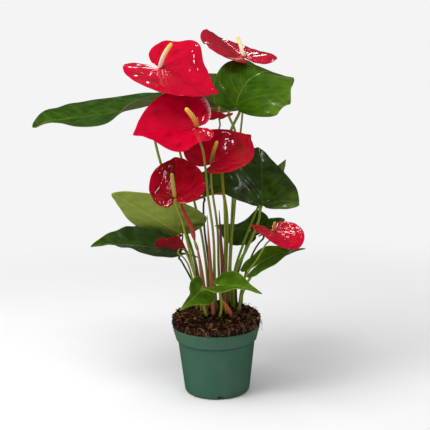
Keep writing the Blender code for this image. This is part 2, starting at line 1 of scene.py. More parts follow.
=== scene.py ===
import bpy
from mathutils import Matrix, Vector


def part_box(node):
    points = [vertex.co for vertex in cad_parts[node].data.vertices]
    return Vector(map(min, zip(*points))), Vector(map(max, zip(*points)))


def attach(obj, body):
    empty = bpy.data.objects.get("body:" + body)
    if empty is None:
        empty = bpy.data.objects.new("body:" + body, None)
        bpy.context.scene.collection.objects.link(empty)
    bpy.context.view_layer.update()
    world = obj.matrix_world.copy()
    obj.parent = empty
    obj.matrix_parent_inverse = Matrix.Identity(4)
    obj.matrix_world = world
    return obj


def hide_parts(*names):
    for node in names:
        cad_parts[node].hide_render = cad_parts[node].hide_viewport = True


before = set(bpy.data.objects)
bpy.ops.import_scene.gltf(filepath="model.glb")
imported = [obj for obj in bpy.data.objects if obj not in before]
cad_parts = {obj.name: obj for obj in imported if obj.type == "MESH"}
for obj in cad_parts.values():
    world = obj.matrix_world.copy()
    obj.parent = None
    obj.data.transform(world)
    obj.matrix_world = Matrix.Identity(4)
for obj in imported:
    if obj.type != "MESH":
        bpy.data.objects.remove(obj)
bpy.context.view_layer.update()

from functools import partial
import bpy
import numpy as np
from mathutils import Matrix, Vector

mm = 0.001
dice = np.random.default_rng(7)
asColour = dict(out=2, data_type="RGBA")        # a Mix node that mixes colours
eased = dict(interpolation_type="SMOOTHSTEP")   # a Map Range node with soft ends


def linear(hexColour):  # sRGB hex to linear RGBA
    shares = np.array([int(hexColour[i:i + 2], 16) for i in (1, 3, 5)]) / 255
    light = np.where(shares <= 0.04045, shares / 12.92, ((shares + 0.055) / 1.055) ** 2.4)
    return (*map(float, light), 1.0)


# Adds a node, gives it its settings, links or fills its inputs, and returns one output. Text is an
# sRGB hex colour. Map Range: 0 value, 1 and 2 from, 3 and 4 to. Mix: 0 share, 6 and 7 the colours.
def addNode(tree, kind, inputs=None, out=0, **settings):
    node = tree.nodes.new("ShaderNode" + kind)
    for key, value in settings.items():
        setattr(node, key, value)
    for key, value in (inputs or {}).items():
        if isinstance(value, bpy.types.NodeSocket):
            tree.links.new(value, node.inputs[key])
        else:
            node.inputs[key].default_value = linear(value) if isinstance(value, str) else value
    return node.outputs[out]


# Starts a material with the constants of its finish; gives the adder of its nodes, Object coordinates
# and the mesh's named fields
def startMaterial(name, finish, *fields):
    material = bpy.data.materials.new(name)
    material.use_nodes = True
    for key, value in finish.items():
        material.node_tree.nodes["Principled BSDF"].inputs[key].default_value = value
    add = partial(addNode, material.node_tree)
    reading = {field: add("Attribute", out=2, attribute_name=field) for field in fields}
    return material, add, add("TexCoord", out=3), reading


def feedShader(material, ends):  # links each output to the shader's input of that name
    tree = material.node_tree
    for key, output in ends.items():
        tree.links.new(output, tree.nodes["Principled BSDF"].inputs[key])
    return material


# Sum of six sine waves in random directions, about -1 to 1, for points given by rows of coordinates
def ripple(places, wavelength, seed):
    waves = np.random.default_rng(seed)
    aims = waves.normal(size=(6, places.shape[-1]))
    aims /= np.linalg.norm(aims, axis=1)[:, None]
    turns = waves.uniform(0, 2 * np.pi, 6)
    lengths = wavelength * waves.uniform(0.75, 1.35, 6)
    commonPeak = 2.6  # six waves seldom add up to more
    return np.sin(places @ (aims / lengths[:, None]).T * 2 * np.pi + turns).sum(axis=-1) / commonPeak


# 0 up to low, 1 from high on, and 3s^2 - 2s^3 between
def smoothStep(low, high, value):
    share = np.clip((value - low) / (high - low), 0, 1)
    return share * share * (3 - 2 * share)


# Smooth curve through the points (xs, ys), read at x: a cubic between each two, with shared slopes
def smoothThrough(xs, ys, x):
    xs, ys = np.asarray(xs, float), np.asarray(ys, float)
    slopes = np.gradient(ys, xs, axis=0)
    i = np.clip(np.searchsorted(xs, x, side="right") - 1, 0, len(xs) - 2)
    span = xs[i + 1] - xs[i]
    t = (x - xs[i]) / span
    if ys.ndim > 1:
        t, span = t[..., None], span[..., None]
    start = (2 * t**3 - 3 * t**2 + 1) * ys[i] + (t**3 - 2 * t**2 + t) * span * slopes[i]
    return start + (3 * t**2 - 2 * t**3) * ys[i + 1] + (t**3 - t**2) * span * slopes[i + 1]


def roundAngles(sides):  # even angles round a ring
    return np.linspace(0, 2 * np.pi, sides, endpoint=False)


# a * cos - b * sin and a * sin + b * cos: a and b turned, or with b 0 a point at reach a
def turned(a, b, angle):
    return a * np.cos(angle) - b * np.sin(angle), a * np.sin(angle) + b * np.cos(angle)


# Four-cornered faces of one or more grids of point numbers
def gridFaces(numbers):
    corners = [numbers[..., :-1, :-1], numbers[..., :-1, 1:], numbers[..., 1:, 1:], numbers[..., 1:, :-1]]
    return np.stack(corners, axis=-1).reshape(-1, 4)


# A mesh object with a value per point for each named field. Where it stands for a CAD node, it takes
# that node's name, with hyphens, unless it has its own
def newPiece(node, points, faces, material, fields, name=None, smooth=True):
    name = name or node.replace("_", "-")
    mesh = bpy.data.meshes.new(name)
    mesh.from_pydata(points.tolist(), [], faces)
    for field, values in fields.items():
        mesh.attributes.new(field, "FLOAT", "POINT").data.foreach_set(
            "value", np.ascontiguousarray(values, np.float32).ravel())
    if smooth:
        mesh.shade_smooth()
    mesh.materials.append(material)
    piece = bpy.data.objects.new(name, mesh)
    bpy.context.scene.collection.objects.link(piece)
    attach(piece, "root")
    if node:
        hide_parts(node)


# Closed skin over rings of points: rows by sides by 3, with one more point at each end
def ringSkin(rings, first, last):
    rows, sides = rings.shape[:2]
    numbers = np.arange(rows * sides).reshape(rows, sides)
    around = np.hstack([numbers, numbers[:, :1]])
    ends = rows * sides, rows * sides + 1
    low = np.stack([np.full(sides, ends[0]), around[0, 1:], around[0, :-1]], axis=-1)
    high = np.stack([around[-1, :-1], around[-1, 1:], np.full(sides, ends[1])], axis=-1)
    points = np.vstack([rings.reshape(-1, 3), first, last])
    return points, gridFaces(around).tolist() + low.tolist() + high.tolist()


# Skin of a rod, and each point's share of its length. In words: rings round a path, each point at
# centre + radius * (cos a * side + flat * sin a * other side), closed by a point at each end
def rodSkin(path, radii, share, flat=1.0):
    along = np.gradient(path, axis=0)
    along /= np.linalg.norm(along, axis=1)[:, None]
    across = np.eye(3)[np.argmin(np.abs(along).max(axis=0))]
    side = np.cross(across, along)
    side /= np.linalg.norm(side, axis=1)[:, None]
    other = np.cross(along, side)
    sides = radii.shape[1]
    turn = roundAngles(sides)[None, :, None]
    ring = np.cos(turn) * side[:, None] + flat * np.sin(turn) * other[:, None]
    points, faces = ringSkin(path[:, None] + radii[..., None] * ring, path[:1], path[-1:])
    return points, faces, np.concatenate([np.repeat(share, sides), [0, 1]])


# Centre, radius and distance along of each ring of a swept CAD piece, from its lower end to its upper
def ringsOf(node, upright=True):
    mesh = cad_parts[node].data
    corners, ends = np.zeros(len(mesh.vertices) * 3), np.zeros(len(mesh.edges) * 2, int)
    mesh.vertices.foreach_get("co", corners)
    mesh.edges.foreach_get("vertices", ends)
    spots, number = np.unique(np.round(corners.reshape(-1, 3), 6), axis=0, return_inverse=True)
    ends = number.ravel()[ends].reshape(-1, 2)
    axis = np.linalg.svd(spots - spots.mean(axis=0), full_matrices=False)[2][0]
    axis = np.array([0, 0, 1.0]) if upright else axis * np.sign(axis[2])
    height = spots @ axis
    height -= height.min()
    firstRing = 2.6 * mm if upright else 0.022 * height.max()  # how high the lowest ring's points lie
    ring = np.where(height < firstRing, 0, -1)
    step = 0
    while (ring < 0).any():  # each ring is the next one reached over the edges
        reached = np.unique(ends[(ring[ends] == step).any(axis=1)])
        step += 1
        ring[reached[ring[reached] < 0]] = step
    groups = [spots[ring == i] for i in range(step + 1)]
    centres = np.array([group.mean(axis=0) for group in groups])
    radii = np.array([np.linalg.norm(group - group.mean(axis=0), axis=1).mean() for group in groups])
    steps = np.concatenate([[0], np.cumsum(np.linalg.norm(np.diff(centres, axis=0), axis=1))])
    return centres, radii, steps


print("stage: camera, lights and floor")
studio = dict(
    camera=(0.001, -1.300, 0.512), tilt=79.1, roll=-1.0, lens=77.44,
    # ambient is the room's light on the plant, inGloss what its glossy skins mirror of it
    backdrop="#F4F4F5", ambient=0.62, inGloss=0.04, paper="#F0F0F0", fadeFrom=0.45, fadeTo=1.1,
    # name: place in metres, aimed at, size, strength in watts, shows in the gloss
    lamps={"softboxAbove": ((-0.45, -0.35, 1.6), (0, 0, 0.25), (0.9, 0.7), 13, False),
           "softboxLeft": ((-1.35, -0.75, 0.95), (0, 0, 0.33), (0.6, 0.9), 8.5, False),
           "stripAbove": ((0.58, -0.38, 1.48), (0, 0, 0.4), (0.05, 0.24), 0.8, True),
           "stripFront": ((0.12, -0.44, 1.55), (0, 0, 0.4), (0.03, 0.12), 0.35, True),
           "stripRight": ((0.95, 0.10, 1.20), (0, 0, 0.38), (0.16, 0.03), 0.22, True),
           "stripBack": ((0.05, 0.85, 1.40), (0, 0, 0.4), (0.07, 0.26), 0.55, True),
           "stripFar": ((0.16, 1.25, 1.22), (0, 0, 0.42), (0.04, 0.25), 0.28, True),
           "windowLeft": ((-1.15, -0.48, 0.95), (0, 0, 0.45), (0.05, 0.34), 1.3, True)},
)
scene = bpy.context.scene
scene.view_settings.view_transform = "Standard"
cameraData = bpy.data.cameras.new("camera")
cameraData.lens = studio["lens"]
cameraData.clip_start = 0.02
camera = bpy.data.objects.new("camera", cameraData)
scene.collection.objects.link(camera)
camera.matrix_world = (Matrix.Translation(studio["camera"])
                       @ Matrix.Rotation(np.radians(studio["tilt"]), 4, "X")
                       @ Matrix.Rotation(np.radians(studio["roll"]), 4, "Z"))
scene.camera = camera

for lampName, (place, aim, size, power, glossy) in studio["lamps"].items():
    lampData = bpy.data.lights.new(lampName, "AREA")
    lampData.shape = "RECTANGLE"
    lampData.size, lampData.size_y = size
    lampData.energy = power
    lamp = bpy.data.objects.new(lampName, lampData)
    scene.collection.objects.link(lamp)
    lamp.visible_glossy = glossy
    facing = (Vector(place) - Vector(aim)).to_track_quat("Z", "Y")
    lamp.matrix_world = Matrix.Translation(place) @ facing.to_matrix().to_4x4()

world = bpy.data.worlds.new("paleRoom")
scene.world = world
world.use_nodes = True
add = partial(addNode, world.node_tree)
background = world.node_tree.nodes["Background"]
seen = add("LightPath")
mirrored = add("LightPath", out=3)
level = add("MapRange", {0: mirrored, 3: studio["ambient"], 4: studio["inGloss"]})
level = add("MapRange", {0: seen, 3: level, 4: 1.0})
background.inputs["Color"].default_value = linear(studio["backdrop"])
world.node_tree.links.new(level, background.inputs["Strength"])

floorMesh = bpy.data.meshes.new("floor")
floorMesh.from_pydata([(-6, -6, 0), (6, -6, 0), (6, 6, 0), (-6, 6, 0)], [], [(0, 1, 2, 3)])
floor = bpy.data.objects.new("floor", floorMesh)
scene.collection.objects.link(floor)
# Matt paper sweep: takes soft shadows near the pot and fades into the room further off
paper, add, spot, _ = startMaterial("mattPaperSweep", {
    "Base Color": linear(studio["paper"]), "Roughness": 1.0, "Specular IOR Level": 0.0})
away = add("VectorMath", {0: spot}, out=1, operation="LENGTH")
far = add("MapRange", {0: away, 1: studio["fadeFrom"], 2: studio["fadeTo"]}, **eased)
glow = add("Emission", {"Color": studio["backdrop"]})
tree = paper.node_tree
mixed = add("MixShader", {0: far, 1: tree.nodes["Principled BSDF"].outputs[0], 2: glow})
tree.links.new(mixed, tree.nodes["Material Output"].inputs["Surface"])
floorMesh.materials.append(paper)
floor.visible_glossy = False


print("stage: leaf and spathe finishes")

# Waxy leaf blade, grown: satin cuticle over green flesh, pale veins, a dull paler underside. Colours
# are the flesh's two greens, the veins', the margin's, a patch's (paler or darker) and the underside's.
# The tones are set per blade and hold painted light and shade as well: Dark is the green of blades in
# shade, Backlit a blade painted as lit through from behind
leafTones = {
    "waxyLeafDark": ("#1E3006", "#34500E", "#5A7428", "#4E6E1E", "#7E9440", "#5C7428"),
    "waxyLeafDeep": ("#26400A", "#345410", "#66822E", "#6E8A34", "#8A9A4A", "#6A7A3C"),
    "waxyLeafMid": ("#2A4A04", "#3A5C06", "#6E8C28", "#7E9A34", "#7E9A2C", "#7C8C38"),
    "waxyLeafFresh": ("#365A08", "#50780A", "#82A03C", "#9BB04A", "#B4BE56", "#95A458"),
    "waxyLeafPale": ("#748A2E", "#8CA03E", "#A8B55A", "#B2BC66", "#45561C", "#8A9A3C"),
    "waxyLeafBacklit": ("#3E4E14", "#626E22", "#949A4C", "#9AA048", "#26320F", "#626A2A"),
}


# Fine wrinkles between the veins: noise over (vein number, mm from the margin), so that they run with
# the veins. Real ones are finer than shows, so these are drawn coarser
def wrinkles(add, reading, acrossVeins, alongVeins, depth):
    across = add("Math", {0: reading["veins"], 1: acrossVeins}, operation="MULTIPLY")
    along = add("Math", {0: reading["edge"], 1: alongVeins}, operation="MULTIPLY")
    way = add("CombineXYZ", {"X": across, "Y": along})
    height = add("TexNoise", {"Vector": way, "Scale": 1.0, "Detail": 0.5})
    return add("Bump", {"Height": height, "Distance": depth, "Strength": 1.0})


def leafMaterial(name, deep, flesh, vein, rim, patch, under):
    material, add, spot, reading = startMaterial(
        name, {"Roughness": 0.34, "IOR": 1.45, "Specular IOR Level": 0.15, "Coat Weight": 0.5,
               "Coat Roughness": 0.12}, "veins", "cross", "midrib", "edge", "face", "patch", "sear")
    blotch = add("TexNoise", {"Vector": spot, "Scale": 1 / (16 * mm), "Detail": 3.0})
    mottle = add("MapRange", {0: blotch, 1: 0.35, 2: 0.65})
    colour = add("Mix", {0: mottle, 6: flesh, 7: deep}, **asColour)
    # Pale lines as (field, full up to, gone from, strength). A side or cross vein lies wherever its
    # field is a whole number, and the midrib and the margin are in mm
    pale = {}
    for field, full, gone, strength in (("veins", 0.01, 0.07, 0.24), ("cross", 0.0, 0.1, 0.1),
                                        ("midrib", 0.35, 1.3, 0.55), ("edge", 0.3, 1.1, 0.7)):
        off = reading[field]
        if field in ("veins", "cross"):
            off = add("Math", {0: off, 1: 0.5}, operation="PINGPONG")
        pale[field] = add("MapRange", {0: off, 1: full, 2: gone, 3: strength, 4: 0.0}, **eased)
    lines = add("Math", {0: pale["veins"], 1: pale["cross"]}, operation="MAXIMUM")
    lines = add("Math", {0: lines, 1: pale["midrib"]}, operation="MAXIMUM")
    for share, tone in ((lines, vein), (pale["edge"], rim)):
        colour = add("Mix", {0: share, 6: colour, 7: tone}, **asColour)
    below = add("Mix", {0: lines, 6: under, 7: vein}, **asColour)
    colour = add("Mix", {0: reading["face"], 6: below, 7: colour}, **asColour)
    # patch: painted light and shade on some blades; sear: a scorched brown
    for share, tone in ((reading["patch"], patch), (reading["sear"], "#A85A22")):
        colour = add("Mix", {0: share, 6: colour, 7: tone}, **asColour)
    dull = add("MapRange", {0: reading["face"], 3: 0.55, 4: 0.33})
    bump = wrinkles(add, reading, acrossVeins=2.4, alongVeins=0.05, depth=0.05 * mm)
    return feedShader(material, {
        "Base Color": colour, "Roughness": dull, "Normal": bump, "Coat Normal": bump})


# Lacquer-like spathe, grown: a hard clear gloss over puffed crimson flesh, duller below. Colours are
# the hollows' (painted shade), the flesh's two reds, a pale patch's (painted reflection and fading)
# and the underside's
spatheTones = {
    "lacquerSpathe": ("#8E0016", "#B40024", "#C2002A", "#E8B7BC", "#B2101E"),
    # A darker copy of the reds above: painted shade for a spathe that stands in shade
    "lacquerSpatheShaded": ("#5E000C", "#900016", "#A8001C", "#C98A90", "#8A1C24"),
    "witheredSpathe": ("#5A020C", "#8E0414", "#A4081A", "#B06A58", "#7A0410"),
}


def spatheMaterial(name, deep, flesh, bright, patch, under):
    material, add, spot, reading = startMaterial(
        name, {"Roughness": 0.4, "IOR": 1.48, "Specular IOR Level": 0.06, "Coat Weight": 1.0,
               "Coat Roughness": 0.05, "Coat IOR": 1.5}, "veins", "cross", "edge", "face", "patch", "puff")
    blotch = add("TexNoise", {"Vector": spot, "Scale": 1 / (22 * mm), "Detail": 3.0})
    mottle = add("MapRange", {0: blotch, 1: 0.35, 2: 0.65})
    # Painted shade: a deeper red in the hollows along the veins
    hollowShade = add("MapRange", {0: reading["puff"], 1: 0.0, 2: 0.55, 3: 0.75, 4: 0.0}, **eased)
    # A patch is a pale margin with the veins left red in it: painted reflection as well as a faded margin
    branch = add("Math", {0: reading["cross"], 1: 0.5}, operation="PINGPONG")
    branch = add("MapRange", {0: branch, 1: 0.03, 2: 0.2, 3: 0.55, 4: 0.0}, **eased)
    fadeAndSheen = add("Math", {0: reading["patch"], 1: branch}, operation="SUBTRACT", use_clamp=True)
    colour = flesh
    for share, tone in ((mottle, bright), (hollowShade, deep), (fadeAndSheen, patch)):
        colour = add("Mix", {0: share, 6: colour, 7: tone}, **asColour)
    colour = add("Mix", {0: reading["face"], 6: under, 7: colour}, **asColour)
    bump = wrinkles(add, reading, acrossVeins=1.4, alongVeins=0.05, depth=0.07 * mm)
    return feedShader(material, {"Base Color": colour, "Normal": bump, "Coat Normal": bump})


bladeWays = dict(
    rows=42, columnsPerMm=1.15, columns=(64, 150),
    fullestAngle=20.0,  # where full widens the heart most, in degrees from the tip
    curlReach=0.6,      # share of the length over which curl is counted
    dripAngle=3.2,      # how far round from the tip its thread reaches, in degrees
    veinRise=0.75,      # how much a side vein climbs for each step out from the midrib
    veinArc=0.55,       # how much it turns on towards the tip, per blade length
    basalVeins=3.6,     # veins from the stalk into each lobe
    basalFan=125.0,     # the angle that they spread over
    veinWander=0.16, crossWander=0.35,  # as shares of the veins' spacing
    cushioned=0.15, groove=0.5 * mm, ridge=0.7 * mm, marginRound=1.1 * mm, marginWave=0.007,
)
# outline is a flat heart as (angle from the tip in degrees, radius as a share of the length)
leafWays = dict(
    bladeWays, slot="leaf_blade", thickness=0.8 * mm, puff=0.35, veins=9, seed=100,
    finish={name: leafMaterial(name, *tones) for name, tones in leafTones.items()},
    outline=((0, 1.0), (5, 0.88), (14, 0.72), (28, 0.60), (48, 0.52), (72, 0.47),
             (100, 0.455), (125, 0.45), (145, 0.42), (158, 0.34), (168, 0.20)))
spatheWays = dict(
    bladeWays, slot="spathe", tone="lacquerSpathe", thickness=1.0 * mm, puff=0.42, veins=15, seed=400,
    finish={name: spatheMaterial(name, *tones) for name, tones in spatheTones.items()},
    outline=((0, 1.0), (5, 0.90), (14, 0.80), (28, 0.73), (48, 0.69), (72, 0.66),
             (100, 0.64), (125, 0.60), (145, 0.52), (158, 0.41), (168, 0.24)))

# Angles in degrees and lengths in mm, as in the CAD. aim is (heading, slope, roll), bend arches (the
# blade, its lobes), and the other pairs are (left half, right half): width and lobe stretch the heart
# across and behind the stalk, fold lifts the halves, and wave adds to fold in a crest at waveAt.
# tone is the finish, veins the side veins a half, puff the height of the flesh between them in mm,
# cushioned the share of it that the cross veins divide;
# patch and sear are places of another colour as (place round the margin from -1 to 1, its width, from,
# to, strength), from and to as shares of the way from the stalk to the margin; several patches are
# painted light and shade, marked where they are set, and sear is a scorched brown;
# margin and bumps lengthen or shorten the margin as (place, width, share), the first as in the CAD;
# drip is the length and the sag of the thread at the tip
leaves = {
    "leaf_upper_right": dict(
        aim=(21, 78, -22), length=145, width=(0.85, 1.1), full=(0.1, 0.1), fold=(9, -3), curl=(-3, -12),
        lobe=(0.25, 0.15), bend=(137, 41), twist=-12, wave=(15, -13), waveAt=0.35,
        margin=[(-0.85, 0.33, -0.55)], bumps=[(-0.12, 0.07, -0.07), (0.42, 0.22, 0.08)], tone="waxyLeafMid",
        # patch: a paler right half, painted light where the light falls on it
        patch=[(0.45, 0.3, 0.5, 1.0, 0.25)]),
    "leaf_upper_back": dict(
        aim=(152, -1, -33), length=124, width=(1.05, 0.95), full=(0.2, 0.1), fold=(22, 22), curl=(8, 7),
        lobe=(0.35, 0.35), bend=(20, 8), twist=-7, wave=(0, 0), waveAt=0.5,
        # patch: a dark band along the blade, painted shade; the Backlit tone is painted light through the
        # blade
        patch=[(-0.15, 0.25, 0.0, 0.1, 0.6)], tone="waxyLeafBacklit"),
    "leaf_far_left": dict(
        aim=(180, -13, 2), length=169, width=(1.0, 0.9), full=(0.1, 0.3), fold=(6, 10), curl=(6, -8),
        lobe=(0.6, 0.6), bend=(-11, 1), twist=18, wave=(-8, -1), waveAt=0.5, drip=(10, 9),
        tone="waxyLeafDeep"),
    "leaf_right": dict(
        aim=(84, 46, -17), length=140, width=(0.95, 0.85), full=(0.05, -0.05), fold=(15, 15), curl=(1, 0),
        lobe=(0.15, 0.15), bend=(32, 40), twist=-4, wave=(3, -4), waveAt=0.5, margin=[(-0.93, 0.13, -0.25)],
        patch=[(0.75, 0.2, 0.3, 0.9, 0.4)], tone="waxyLeafDark"),
    "leaf_right_back": dict(
        aim=(-10, 54, 67), length=61, width=(1.0, 0.8), full=(0.05, -0.15), fold=(12, 4), curl=(0, 0),
        lobe=(0.9, 0.85), bend=(5, 0), twist=-11, wave=(3, 2), waveAt=0.2, tone="waxyLeafDark"),
    "leaf_left": dict(
        aim=(206, 35, -27), length=122, width=(1.0, 1.0), full=(0.1, 0.15), fold=(13, 15), curl=(-2, 0),
        lobe=(0.3, 0.3), bend=(3, 35), twist=-18, wave=(2, 6), waveAt=0.95,
        # patch: both lobes darker, painted shade
        patch=[(1.0, 0.62, 0.0, 0.2, 0.9), (-1.0, 0.62, 0.0, 0.2, 0.9)], tone="waxyLeafPale"),
    "leaf_low_left": dict(
        aim=(204, 19, 11), length=135, width=(0.95, 0.95), full=(0.0, 0.15), fold=(14, 18), curl=(0, -2),
        lobe=(0.3, 0.15), bend=(15, 85), twist=4, wave=(9, 1), waveAt=0.95, drip=(8, 4), tone="waxyLeafDeep"),
    "leaf_front_left": dict(
        aim=(246, -10, 52), length=54, width=(1.0, 0.85), full=(-0.15, -0.05), fold=(15, 18), curl=(0, 5),
        lobe=(1.0, 0.95), bend=(14, 3), twist=-7, wave=(3, 4), waveAt=0.55, bumps=[(0.2, 0.12, -0.22)],
        drip=(3, 0), tone="waxyLeafFresh"),
    "leaf_front_right": dict(
        aim=(-35, 11, -10), length=67, width=(1.0, 1.0), full=(-0.05, -0.05), fold=(15, 11), curl=(3, 5),
        lobe=(0.6, 0.7), bend=(26, 4), twist=-3, wave=(-2, 10), waveAt=0.75, drip=(5, 0),
        tone="waxyLeafFresh"),
    "leaf_low_right": dict(
        aim=(5, 36, -9), length=65, width=(0.9, 0.95), full=(0.1, 0.05), fold=(10, 6), curl=(0, -11),
        lobe=(1.15, 1.0), bend=(39, 4), twist=-5, wave=(7, -4), waveAt=0.35, drip=(9, -2),
        tone="waxyLeafMid"),
    "leaf_inner_right": dict(
        aim=(133, 3, 36), length=81, width=(0.95, 1.05), full=(-0.05, -0.1), fold=(6, -1), curl=(0, -2),
        lobe=(1.05, 0.85), bend=(16, 4), twist=-25, wave=(4, -15), waveAt=0.55, tone="waxyLeafDark"),
    "leaf_small_back": dict(
        aim=(36, 25, -1), length=47, width=(0.9, 0.95), full=(0.2, 0.2), fold=(16, 21), curl=(6, 2),
        lobe=(1.05, 0.85), bend=(10, 14), twist=-13, wave=(3, 2), waveAt=0.5, tone="waxyLeafMid"),
    "leaf_inner_back": dict(
        aim=(20, 18, -17), length=77, width=(1.05, 0.95), full=(0.2, 0.1), fold=(19, 24), curl=(11, 6),
        lobe=(0.85, 0.9), bend=(15, 8), twist=-25, wave=(4, -4), waveAt=0.3,
        sear=[(0.6, 0.3, 0.4, 0.65, 1.0)], tone="waxyLeafDark"),
}
spathes = {
    "spathe_upper_left": dict(
        aim=(-23, -18, -33), length=91, width=(0.95, 0.95), full=(0.0, 0.15), fold=(11, 16), curl=(-3, -5),
        lobe=(0.75, 1.0), bend=(9, 11), twist=-8, wave=(6, 0), waveAt=0.2,
        bumps=[(-0.47, 0.08, 0.13), (-0.62, 0.07, -0.03), (-0.3, 0.07, -0.03), (0.9, 0.09, 0.08)],
        drip=(2, 0), puff=0.5),
    "spathe_top_right": dict(
        aim=(116, 20, -9), length=89, width=(1.05, 0.9), full=(0.25, 0.0), fold=(8, 11), curl=(-3, 0),
        lobe=(0.95, 0.75), bend=(-1, 0), twist=-11, wave=(-3, -2), waveAt=0.4, bumps=[(0.68, 0.06, 0.05)],
        puff=0.5),
    "spathe_front": dict(
        aim=(190, 0, 40), length=86, width=(0.95, 1.05), full=(0.0, 0.15), fold=(15, 12), curl=(10, 3),
        lobe=(0.7, 0.6), bend=(13, 5), twist=16, wave=(10, -2), waveAt=0.9, margin=[(-0.82, 0.18, -0.25)],
        # patch: a pale margin, painted reflection as well as a faded margin
        patch=[(0.86, 0.13, 0.72, 1.0, 0.8)], drip=(2, 1)),
    "spathe_behind": dict(
        aim=(-68, 22, 0), length=34, width=(0.85, 1.0), full=(0.05, 0.0), fold=(13, 18), curl=(1, -4),
        lobe=(1.0, 1.1), bend=(29, 0), twist=19, wave=(3, 2), waveAt=0.3),
    "spathe_middle": dict(
        aim=(45, 17, -21), length=83, width=(0.95, 1.0), full=(0.15, 0.1), fold=(17, 19), curl=(9, 4),
        lobe=(0.7, 0.7), bend=(-15, 5), twist=-8, wave=(4, 0), waveAt=0.7, drip=(3, 0), puff=0.6,
        cushioned=0.1),
    "spathe_lower_left": dict(
        aim=(91, 48, -5), length=68, width=(0.9, 1.0), full=(0.05, 0.15), fold=(23, 25), curl=(10, 9),
        lobe=(0.75, 0.5), bend=(5, 9), twist=-5, wave=(1, -1), waveAt=0.7, puff=0.5,
        tone="lacquerSpatheShaded"),
    "spathe_small_right": dict(
        aim=(-61, -12, 0), length=53, width=(0.95, 0.95), full=(0.3, 0.2), fold=(13, 11), curl=(1, 5),
        lobe=(0.8, 0.95), bend=(10, 3), twist=-7, wave=(1, -3), waveAt=0.85, puff=0.8, cushioned=0.0,
        veins=10),
    "spathe_withered": dict(
        aim=(152, 15, -34), length=36, width=(0.9, 0.9), full=(0.3, 0.1), fold=(4, -4), curl=(35, 24),
        lobe=(0.65, 0.85), bend=(43, 5), twist=2, wave=(13, 8), waveAt=0.9, tone="witheredSpathe"),
}


# Points of a blade's upper face, over u from the left lobe (-1) by the tip (0) to the right lobe (1)
# and v from the stalk (0) to the margin (1). In words: a heart in polar form, whose halves rise from
# the midrib by fold + wave and turn on by curl, then twist, and the midrib arches by bend.
def bladeSurface(spec, u, v, plain=False):
    length = spec["length"] * mm
    left = u < 0
    side = {key: np.where(left, *spec[key]) for key in ("width", "full", "fold", "curl", "lobe", "wave")}
    angles, radii = np.array(spec["outline"], float).T
    degrees = angles[-1] * np.abs(u) ** 1.25
    reach = degrees / spec["fullestAngle"]
    radius = smoothThrough(angles, radii, degrees) * (1 + side["full"] * reach * np.exp(1 - reach))
    for middle, span, share in [*spec.get("margin", ()), *([] if plain else spec.get("bumps", ()))]:
        radius = radius * (1 + share * np.exp(-((u - middle) / span) ** 2))
    drip, sag = (0, 0) if plain else spec.get("drip", (0, 0))
    point = np.exp(-(degrees / spec["dripAngle"]) ** 2)
    radius = radius + drip * mm / length * point
    theta = np.radians(degrees) * np.where(left, -1, 1)
    x = v * radius * np.sin(theta) * side["width"] * length
    y = v * radius * np.cos(theta) * length
    y = np.where(y < 0, y * side["lobe"], y)
    share = y / length
    wave = np.cos(2 * np.pi * (share - spec["waveAt"])) * np.clip(4 * share + 0.5, 0, 1)
    fold = np.radians(side["fold"] + side["wave"] * wave)
    curl = np.radians(side["curl"]) / (spec["curlReach"] * length)
    curl = np.where(np.abs(curl) < 1e-4, 1e-4, curl)  # never 0, because it is divided by
    off = np.abs(x)
    out = (np.sin(fold + curl * off) - np.sin(fold)) / curl * np.sign(x)
    rise = (np.cos(fold) - np.cos(fold + curl * off)) / curl
    out, rise = turned(out, rise, np.radians(spec["twist"]) * np.clip(share, 0, None))
    bend = np.where(y >= 0, np.radians(spec["bend"][0]), -np.radians(spec["bend"][1])) / length
    bend = np.where(np.abs(bend) < 1e-4, 1e-4, bend)
    turn = bend * y
    run = np.sin(turn) / bend + rise * np.sin(turn)
    lift = -(1 - np.cos(turn)) / bend + rise * np.cos(turn)
    heading, slope, roll = np.radians(spec["aim"])
    level = np.array([np.cos(heading), np.sin(heading), 0.0])
    up, along = turned(np.array([0, 0, 1.0]), level, slope)
    up, across = turned(up, np.cross(along, up), roll)
    points = out[..., None] * across + run[..., None] * along + lift[..., None] * up
    points[..., 2] -= sag * mm * point * smoothStep(0.85, 1.0, v)
    return points, up, x, y, radius * length


# Number of a vein, whole on the vein itself. In words: in front of the stalk, the height at which a
# rising, tipward-turning line leaves the midrib; behind it, the angle of a line from the stalk.
def veinField(spec, x, y, length):
    off = np.abs(x)
    rise = y - spec["veinArc"] * off**2 / length
    start = rise - spec["veinRise"] * off
    angle = np.arctan2(rise, off + 1e-9) - np.arctan(spec["veinRise"])
    basal = spec["basalVeins"] * angle / np.radians(spec["basalFan"])
    return np.where(start > 0, spec["veins"] * start / length, basal)


